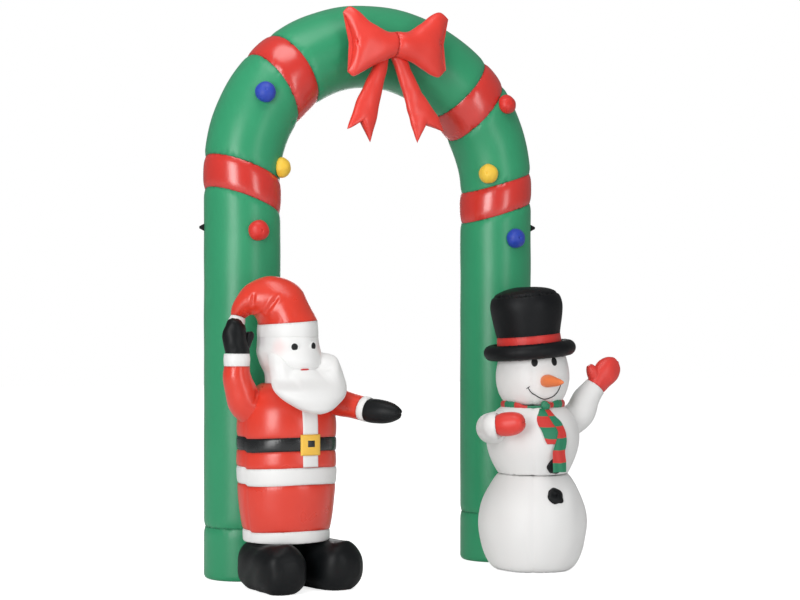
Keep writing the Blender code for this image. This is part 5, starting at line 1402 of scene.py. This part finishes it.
def geometry_tree(name, draw, **inputs):
    """A geometry node tree: draw(tree, given) returns its last output before the material is set. An
    input is given as its kind, or as a value."""
    tree = bpy.data.node_groups.new(name, "GeometryNodeTree")
    tree.interface.new_socket(name="Geometry", in_out="OUTPUT", socket_type="NodeSocketGeometry")
    for label, value in inputs.items():
        kind = value if isinstance(value, str) else "Int" if isinstance(value, int) else "Float"
        socket = tree.interface.new_socket(name=label, in_out="INPUT", socket_type="NodeSocket" + kind)
        if kind != value:
            socket.default_value = value
    given = tree.nodes.new("NodeGroupInput").outputs
    real = wire(tree, "GeometryNodeRealizeInstances", {"Geometry": draw(tree, given)}).outputs[0]
    dressed = wire(tree, "GeometryNodeSetMaterial", {"Geometry": real, "Material": given["Material"]})
    smooth = wire(tree, "GeometryNodeSetShadeSmooth", {"Geometry": dressed.outputs[0], "Shade Smooth": True})
    tree.links.new(smooth.outputs[0], tree.nodes.new("NodeGroupOutput").inputs[0])
    return tree


def grown(name, tree, mesh=None, **settings):
    """The mesh that a geometry node tree makes from a mesh, with its inputs set by name."""
    carrier = stood(name, mesh or bpy.data.meshes.new(name + "_start"))
    nodes = carrier.modifiers.new("grow", "NODES")
    nodes.node_group = tree
    for item in tree.interface.items_tree:
        if item.in_out == "INPUT" and item.name in settings:
            nodes[item.identifier] = settings[item.name]
    made = evaluated(carrier)
    carrier.modifiers.remove(nodes)
    bpy.data.objects.remove(carrier, do_unlink=True)
    made.name = name
    return made


def draw_ring(tree, given):
    """A stuffed ring: a round section swept round a circle, with puckers across its inner seam."""
    circle = "GeometryNodeCurvePrimitiveCircle"
    around = wire(tree, circle, {"Resolution": given["Steps"], "Radius": given["Radius"]}).outputs[0]
    section = wire(tree, circle, {"Resolution": 36, "Radius": given["Thickness"]}).outputs[0]
    swept = wire(tree, "GeometryNodeCurveToMesh", {"Curve": around, "Profile Curve": section}).outputs[0]
    place = wire(tree, "GeometryNodeInputPosition").outputs[0]
    split = wire(tree, "ShaderNodeSeparateXYZ", {0: place}).outputs
    turn = maths(tree, "ARCTAN2", split[1], split[0])
    squares = (maths(tree, "MULTIPLY", split[k], split[k]) for k in (0, 1))
    off = maths(tree, "SUBTRACT", maths(tree, "SQRT", maths(tree, "ADD", *squares)), given["Radius"])
    cosine, sine = (maths(tree, how, turn) for how in ("COSINE", "SINE"))
    way = wire(tree, "ShaderNodeCombineXYZ", {0: cosine, 1: sine}).outputs[0]
    rows = wire(tree, "ShaderNodeTexNoise", {"Vector": way, "Scale": given["Puckers"], "Detail": 1.0})
    outer, inner = (maths(tree, "MULTIPLY", given["Thickness"], share) for share in (0.9, -0.9))
    inward = wire(tree, "ShaderNodeMapRange", {"Value": off, "From Min": outer, "From Max": inner,
                                              "To Min": 0.25, "To Max": 1.0}).outputs[0]
    height = off_middle(tree, rows, maths(tree, "MULTIPLY", inward, given["Depth"]))
    normal = wire(tree, "GeometryNodeInputNormal").outputs[0]
    move = wire(tree, "ShaderNodeVectorMath", {0: normal, 3: height}, operation="SCALE").outputs[0]
    moved = wire(tree, "GeometryNodeSetPosition", {"Geometry": swept, "Offset": move}).outputs[0]
    flat = wire(tree, "ShaderNodeCombineXYZ", {0: maths(tree, "MULTIPLY", turn, given["Radius"]),
                                              1: maths(tree, "ADD", split[2], off)}).outputs[0]
    store = "GeometryNodeStoreNamedAttribute"
    mapped = wire(tree, store, {"Geometry": moved, "Name": "cloth", "Value": flat}, data_type="FLOAT2",
                  domain="CORNER").outputs[0]
    return wire(tree, store, {"Geometry": mapped, "Name": "seam", "Value": CLEAR_OF_SEAM}, data_type="FLOAT",
                domain="POINT").outputs[0]


rings = turned(BAND_SIDE, 18, 150)
rings = pressed(rings, gathers_last(rings, 26, 0.020, 741, 0.005, 0.0012))
skin("snowman_hat_band_cloth", on_hat(rings), BAND_CLOTH, "red_cloth", "snowman_hat_band")
rings = turned(CROWN_SIDE, 74, 260)
seam_row = int(np.argmin(np.abs(rings[:, 0, 2] - CROWN_SEAM_HEIGHT)))
run = run_along(rings[:, 0])[:, None]
rings = rings - outward(rings) * groove(run - run[seam_row], 0.0035)[..., None]
folds = gathers(rings, seam_row, -1, 64, 0.052, 742, 0.0044, 0.0048)
folds += gathers(rings, seam_row, 1, 40, 0.040, 743, 0.0045, 0.0034)
folds += gathers_first(rings, 20, 0.026, 744, 0.005, 0.0016)
rings = uneven(pressed(rings, folds), 0.0016, 0.12, 745)
skin("snowman_hat_crown_cloth", beside_tube(on_hat(rings)), HAT_CLOTH, "black_cloth", "snowman_hat_crown",
     tuck=0.002, seams=(True, False))

STUFFED_RING = geometry_tree("stuffed_ring", draw_ring, Material="Material", Radius=0.1, Thickness=0.02,
                             Steps=220, Puckers=24.0, Depth=0.006)
brim = grown("snowman_hat_brim_cloth", STUFFED_RING, Material=HAT_CLOTH, Radius=BRIM_RADIUS,
             Thickness=BRIM_THICK, Steps=220, Puckers=22.0, Depth=0.0075)
points = np.empty(len(brim.vertices) * 3, np.float32)
brim.vertices.foreach_get("co", points)
points = beside_tube(on_hat(points.reshape(-1, 3).astype(float)))
brim.vertices.foreach_set("co", points.astype(np.float32).ravel())
brim.update()
sewn_on("snowman_hat_brim_cloth", brim, HAT_CLOTH, ["snowman_hat_brim"])


# The scarf is cut from striped cloth: a padded collar round the neck with a knot at one side, and a
# flat tail that lies folded over the middle ball and hangs from there.

COLLAR_RADIUS, COLLAR_THICK, COLLAR_HALF, COLLAR_COLUMNS = 0.1265, 0.0105, 0.0175, 220
STRIPE_GREEN, STRIPE_RED = linear(34, 128, 92), linear(206, 52, 46)
# Height and shift of the collar at degrees round the neck; it is pinched in front.
COLLAR_DEGREES = [-180, -160, -146, -138, -108, -95, -70, 20, 180]
COLLAR_HIGH = [0.88, 0.82, 0.55, 0.36, 0.34, 0.55, 1.0, 0.95, 0.88]
COLLAR_SHIFT = [0.0, -0.001, -0.005, -0.008, -0.008, -0.003, 0.004, 0.0, 0.0]
KNOT_PLACE, KNOT_WAY = (-0.026, -0.1375, 0.697), (0.05, -1.0, -0.15)
KNOT_FOLDS = [((0, -0.026, 0.010), (0.004, 0.026, 0.014), 0.005, 0.004, False),
              ((-0.024, 0, 0.006), (-0.012, 0.010, 0.018), 0.004, 0.002, False)]
TAIL_LOW, TAIL_TOP, LAID_FROM, HANG_RADIUS, SHEET_THICK = 0.4242, 0.687, 0.585, 0.2015, 0.0016
STRIPE_PITCH = 0.0525
# Height, left edge and right edge across the front, of the front layer and of the layer behind it.
FRONT_LAYER = (
    (TAIL_TOP, -0.036, -0.015), (0.658, -0.034, -0.005), (0.6305, -0.026, 0.018), (0.600, -0.010, 0.027),
    (0.575, -0.012, 0.032), (0.550, -0.020, 0.0345), (0.528, -0.028, 0.030), (0.507, -0.0345, 0.025),
    (0.465, -0.034, 0.031), (0.424, -0.033, 0.031),
)
REAR_LAYER = (
    (TAIL_TOP, -0.052, -0.030), (0.654, -0.0796, -0.024), (0.6275, -0.0855, -0.015), (0.600, -0.0785, -0.004),
    (0.559, -0.0654, 0.000), (0.541, -0.0566, -0.004),
)


def draw_stripes(tree, given):
    """1 in every other stripe across a length of cloth, 0 between."""
    run = maths(tree, "DIVIDE", maths(tree, "ADD", given["Run"], given["Start"]), given["Pitch"])
    part = maths(tree, "PINGPONG", maths(tree, "FRACT", maths(tree, "MULTIPLY", run, 0.5)), 0.5)
    return wire(tree, "ShaderNodeMapRange", {"Value": part, "From Min": 0.24, "From Max": 0.26, "To Min": 0.0,
                                            "To Max": 1.0}).outputs[0]


STRIPES = effect("woven_stripes", draw_stripes, "Mask", Run=0.0, Start=0.0, Pitch=0.05)


def striped(pitch, start, across=False):
    """A paint of even green and red stripes along the cloth, or across it."""
    def paint(tree, place, cut, tone):
        split = wire(tree, "ShaderNodeSeparateXYZ", {0: cut}).outputs
        mask = used(tree, STRIPES, Run=split[0 if across else 1], Start=start, Pitch=pitch)
        return either(tree, mask, STRIPE_GREEN, STRIPE_RED)
    return paint


COLLAR_CLOTH = coated_cloth("scarf_collar_cloth", STRIPE_GREEN, gloss=0.5, slack=0.0004,
                            paint=striped(0.055, 0.0, across=True))
TAIL_CLOTH, REAR_CLOTH = (coated_cloth(name, STRIPE_RED, gloss=0.5, slack=0.0004,
                                       paint=striped(STRIPE_PITCH, start))
                          for name, start in (("scarf_tail_cloth", 0.0333), ("scarf_rear_cloth", 0.0858)))


def pinched(grid):
    """The collar with small waves all round, thinner and lower at its front."""
    turn = np.arctan2(grid[..., 1], grid[..., 0])
    wave = 0.0004 * np.sin(23 * turn) + 0.0003 * np.sin(41 * turn + 1.0) + 0.0005 * np.sin(9 * turn)
    high, shift = (np.interp(np.degrees(turn), COLLAR_DEGREES, table)
                   for table in (COLLAR_HIGH, COLLAR_SHIFT))
    centre = np.stack([COLLAR_RADIUS * np.cos(turn), COLLAR_RADIUS * np.sin(turn), 0 * turn + NECK], -1)
    off = (grid - centre) * (1 + wave[..., None] / COLLAR_THICK)
    return centre + np.stack([off[..., 0], off[..., 1], off[..., 2] * high + shift], -1)


def collar():
    """A closed ring swept round the neck from a closed oval section, with its UV map in metres."""
    turn = np.radians(np.arange(0, 360, 12.0))
    section = np.array([(COLLAR_RADIUS + COLLAR_THICK * math.cos(a), NECK + COLLAR_HALF * math.sin(a))
                        for a in turn])
    n, m = COLLAR_COLUMNS, len(section)
    angle = round_angles(n)[:, None]
    radius, height = section[:, 0][None], section[:, 1][None]
    grid = np.stack([radius * np.cos(angle), radius * np.sin(angle), np.broadcast_to(height, (n, m))], -1)
    points = pinched(grid).reshape(-1, 3)
    r, c = np.meshgrid(np.arange(n), np.arange(m), indexing="ij")
    ahead, aside = (r + 1) % n, (c + 1) % m
    quads = np.stack([r * m + c, ahead * m + c, ahead * m + aside, r * m + aside], -1).reshape(-1, 4)
    u = np.arange(n + 1) * (2 * math.pi * section[:, 0].mean() / n)
    v = run_along([*section, section[0]])
    corners = [np.stack([u[r], u[r + 1], u[r + 1], u[r]], -1), np.stack([v[c], v[c], v[c + 1], v[c + 1]], -1)]
    corners = np.stack(corners, -1).reshape(-1, 4, 2)
    if inside_out(points, quads):
        quads, corners = quads[:, ::-1], corners[:, ::-1]
    name = "snowman_scarf_collar_cloth"
    mesh = cloth_mesh(name, points + SNOWMAN, quads.tolist(), corners, np.full(len(points), CLEAR_OF_SEAM))
    sewn_on(name, mesh, COLLAR_CLOTH, ["snowman_scarf_collar"])


def laid(layer, lift, shift, waves, count=84, columns=26):
    """Rings of one thin layer of the tail, over the ball and hanging straight below it."""
    rows = spread(layer, count)
    z = np.clip(rows[:, 0], TAIL_LOW, TAIL_TOP)
    radii, heights = by_height(MIDDLE_BALL).T
    blend = np.clip((z - LAID_FROM) / 0.03, 0, 1)
    over = np.interp(z, heights, radii) * blend + HANG_RADIUS * (1 - blend)
    radius = np.where(z < LAID_FROM, HANG_RADIUS, over)
    across = np.linspace(0, 1, columns)[None]
    x = rows[:, 1:2] + (rows[:, 2:3] - rows[:, 1:2]) * across
    free = np.clip((0.60 - z) / 0.16, 0, 1)[:, None]
    ripple = np.sin(across * 9.5 + z[:, None] * 31 + shift) * np.sin(math.pi * across) ** 0.4
    far = radius[:, None] + lift + waves * (0.35 + free) * ripple + waves * 0.4
    inner = np.stack([x, -np.sqrt(far ** 2 - x ** 2), z[:, None] + 0 * x], -1)
    outer = inner + np.stack([x, inner[..., 1], 0 * x], -1) / far[..., None] * SHEET_THICK
    return np.concatenate([outer, inner[:, ::-1]], 1)


collar()
rings = uneven(ball_rings(0.024, 0.017, 26, 48), 0.0022, 0.030, 761)
rings = turned_to(pressed(rings, KNOT_FOLDS), KNOT_WAY, KNOT_PLACE)
skin("snowman_scarf_knot", rings + SNOWMAN, COLLAR_CLOTH, "green_cloth", fill=0.6, **UNSEWN)
for name, nodes, rings, cloth, wide, long in (
    ("snowman_scarf_tail_cloth", ["snowman_scarf_tail"], laid(FRONT_LAYER, 0.0030, 0.0, 0.0012), TAIL_CLOTH,
     0.070, 0.284),
    ("snowman_scarf_tail_rear", [], laid(REAR_LAYER, 0.0008, 2.0, 0.0006, 50, 18), REAR_CLOTH, 0.075, 0.170),
):
    sheet = skin(name, rings + SNOWMAN, cloth, "red_cloth", *nodes, corner=60, **LAID_ON)


# Two round padded buttons of black cloth, one on the middle ball and one on the base.

BUTTON_RADIUS, BUTTON_THICK, BUTTON_SUNK = 0.037, 0.016, 0.002
for name, x, z, profile, slope, seed in (
    ("snowman_button_upper", 0.0, 0.449, MIDDLE_BALL, 20, 771),
    ("snowman_button_lower", -0.018, 0.325, BASE_BALL, -26, 772),
):
    radii, heights = by_height(profile).T
    place = np.array([x, -float(np.interp(z, heights, radii)) + BUTTON_SUNK, z])
    lean = math.radians(slope)
    rings = uneven(ball_rings(BUTTON_RADIUS, BUTTON_THICK, 30, 60), 0.0022, 0.035, seed)
    rings = pressed(rings, gathers_last(rings, 9, 0.030, seed, 0.004, 0.0016))
    rings = turned_to(rings, (0, -math.cos(lean), -math.sin(lean)), place)
    skin(name + "_cloth", rings + SNOWMAN, BLACK_CLOTH, "black_cloth", name, **UNSEWN)


# The snowman's arms: two filled white sleeves, one bent in front of the body and one waving, each with
# a red mitten. The waving mitten has a thumb.

MITTEN_CLOTH = coated_cloth("mitten_cloth", linear(226, 62, 54), gloss=0.4, slack=0.0007)
# Rows of x, y, z and radius.
BENT = (
    (-0.100, 0.004, 0.612, 0.066), (-0.160, -0.004, 0.608, 0.067), (-0.212, -0.022, 0.605, 0.066),
    (-0.243, -0.058, 0.608, 0.062), (-0.259, -0.100, 0.616, 0.056), (-0.248, -0.118, 0.619, 0.050),
)
WAVING = (
    (0.100, 0.004, 0.600, 0.068), (0.160, -0.006, 0.614, 0.068), (0.222, -0.018, 0.652, 0.067),
    (0.258, -0.028, 0.720, 0.058), (0.298, -0.0367, 0.7705, 0.048),
)
# Rows of distance from the wrist, half width and half depth.
FIST = ((0.0, 0.040, 0.042), (0.018, 0.047, 0.047), (0.050, 0.049, 0.048), (0.080, 0.044, 0.044),
        (0.100, 0.032, 0.034), (0.108, 0.014, 0.016))
OPEN_HAND = ((0.0, 0.043, 0.038), (0.030, 0.050, 0.040), (0.068, 0.057, 0.042), (0.100, 0.055, 0.038),
             (0.128, 0.042, 0.027), (0.144, 0.018, 0.012))
RAISED_THUMB = ((0.306, -0.041, 0.800, 0.030, 0.030), (0.287, -0.040, 0.829, 0.028, 0.028),
                (0.274, -0.039, 0.851, 0.022, 0.023), (0.267, -0.038, 0.865, 0.013, 0.014))
FIST_FOLD = ((-0.222, -0.196, 0.644), (-0.256, -0.164, 0.636), 0.007, 0.0036, True)


def carried_on(arm, shape, bend):
    """Rows of a mitten that carries on from an arm; bend leads its tip aside."""
    end, before = np.array(arm[-1][:3]), np.array(arm[-2][:3])
    way = unit(end - before)
    straight, length = shape[1][0], shape[-1][0]
    rows = []
    for along, wide, deep in shape:
        bent = max(0.0, (along - straight) / (length - straight)) ** 2
        rows.append((*(end + way * (along + GAP) + np.array(bend) * bent), wide, deep))
    return rows


for side, rows, seed, last in (("left", BENT, 801, 16), ("right", WAVING, 811, 14)):
    filled_limb("snowman_arm_" + side, rows, 60, WHITE_CLOTH, "white_cloth", seed, last=last, deep=0.0022,
                base=SNOWMAN)
fist = carried_on(BENT, FIST, (0.012, -0.004, 0.004))
filled_limb("snowman_mitten_left", fist, 48, MITTEN_CLOTH, "red_cloth", 821, folds=[FIST_FOLD], first=16,
            last=12, deep=0.0030, seams=(True, False), base=SNOWMAN)
hand = carried_on(WAVING, OPEN_HAND, (0.006, -0.002, 0.004))
mitten("snowman_mitten_right", hand, RAISED_THUMB, MITTEN_CLOTH, "red_cloth", SNOWMAN, 831)


# Thread: each seam has a row of lock stitches on both sides of it, in thread of the cloth's colour.

STITCH_PITCH, THREAD_RADIUS, STITCH_SHARE = 0.0062, 0.00055, 0.33
THREADS = (("green", (34, 132, 88)), ("red", (196, 44, 38)), ("white", (226, 226, 224)),
           ("black", (17, 20, 22)))


def draw_stitches(tree, given):
    """Short round stitches, one after another along each line of a mesh."""
    line = wire(tree, "GeometryNodeMeshToCurve", {"Mesh": given["Seams"]}).outputs[0]
    evened = wire(tree, "GeometryNodeResampleCurve", {"Curve": line, "Length": given["Pitch"]}, mode="LENGTH")
    ball = wire(tree, "GeometryNodeMeshIcoSphere", {"Radius": 1.0, "Subdivisions": 1}).outputs[0]
    tangent = wire(tree, "GeometryNodeInputTangent").outputs[0]
    turn = wire(tree, "FunctionNodeAlignEulerToVector", {"Vector": tangent}, axis="X").outputs[0]
    long = maths(tree, "MULTIPLY", given["Pitch"], STITCH_SHARE)
    size = wire(tree, "ShaderNodeCombineXYZ", {0: long, 1: given["Thread"], 2: given["Thread"]}).outputs[0]
    return wire(tree, "GeometryNodeInstanceOnPoints", {"Points": evened.outputs[0], "Instance": ball,
                                                       "Rotation": turn, "Scale": size}).outputs[0]


LOCK_STITCH = geometry_tree("lock_stitch", draw_stitches, Seams="Geometry", Material="Material", Pitch=0.006,
                            Thread=0.0005)
for kind, tone in THREADS:
    name, loops = "stitches_" + kind, SEWN_LINES[kind + "_cloth"]
    links, start = [], 0
    for loop in loops:
        links += [(start + i, start + (i + 1) % len(loop)) for i in range(len(loop))]
        start += len(loop)
    seam_mesh = bpy.data.meshes.new(kind + "_lines")
    seam_mesh.from_pydata(np.concatenate(loops).tolist(), links, [])
    thread = coated_cloth(kind + "_sewing_thread", linear(*tone), gloss=0.5, slack=0.0, gather=0.0)
    stitches = grown(name, LOCK_STITCH, seam_mesh, Material=thread, Pitch=STITCH_PITCH, Thread=THREAD_RADIUS)
    sewn_on(name, stitches, thread, [])
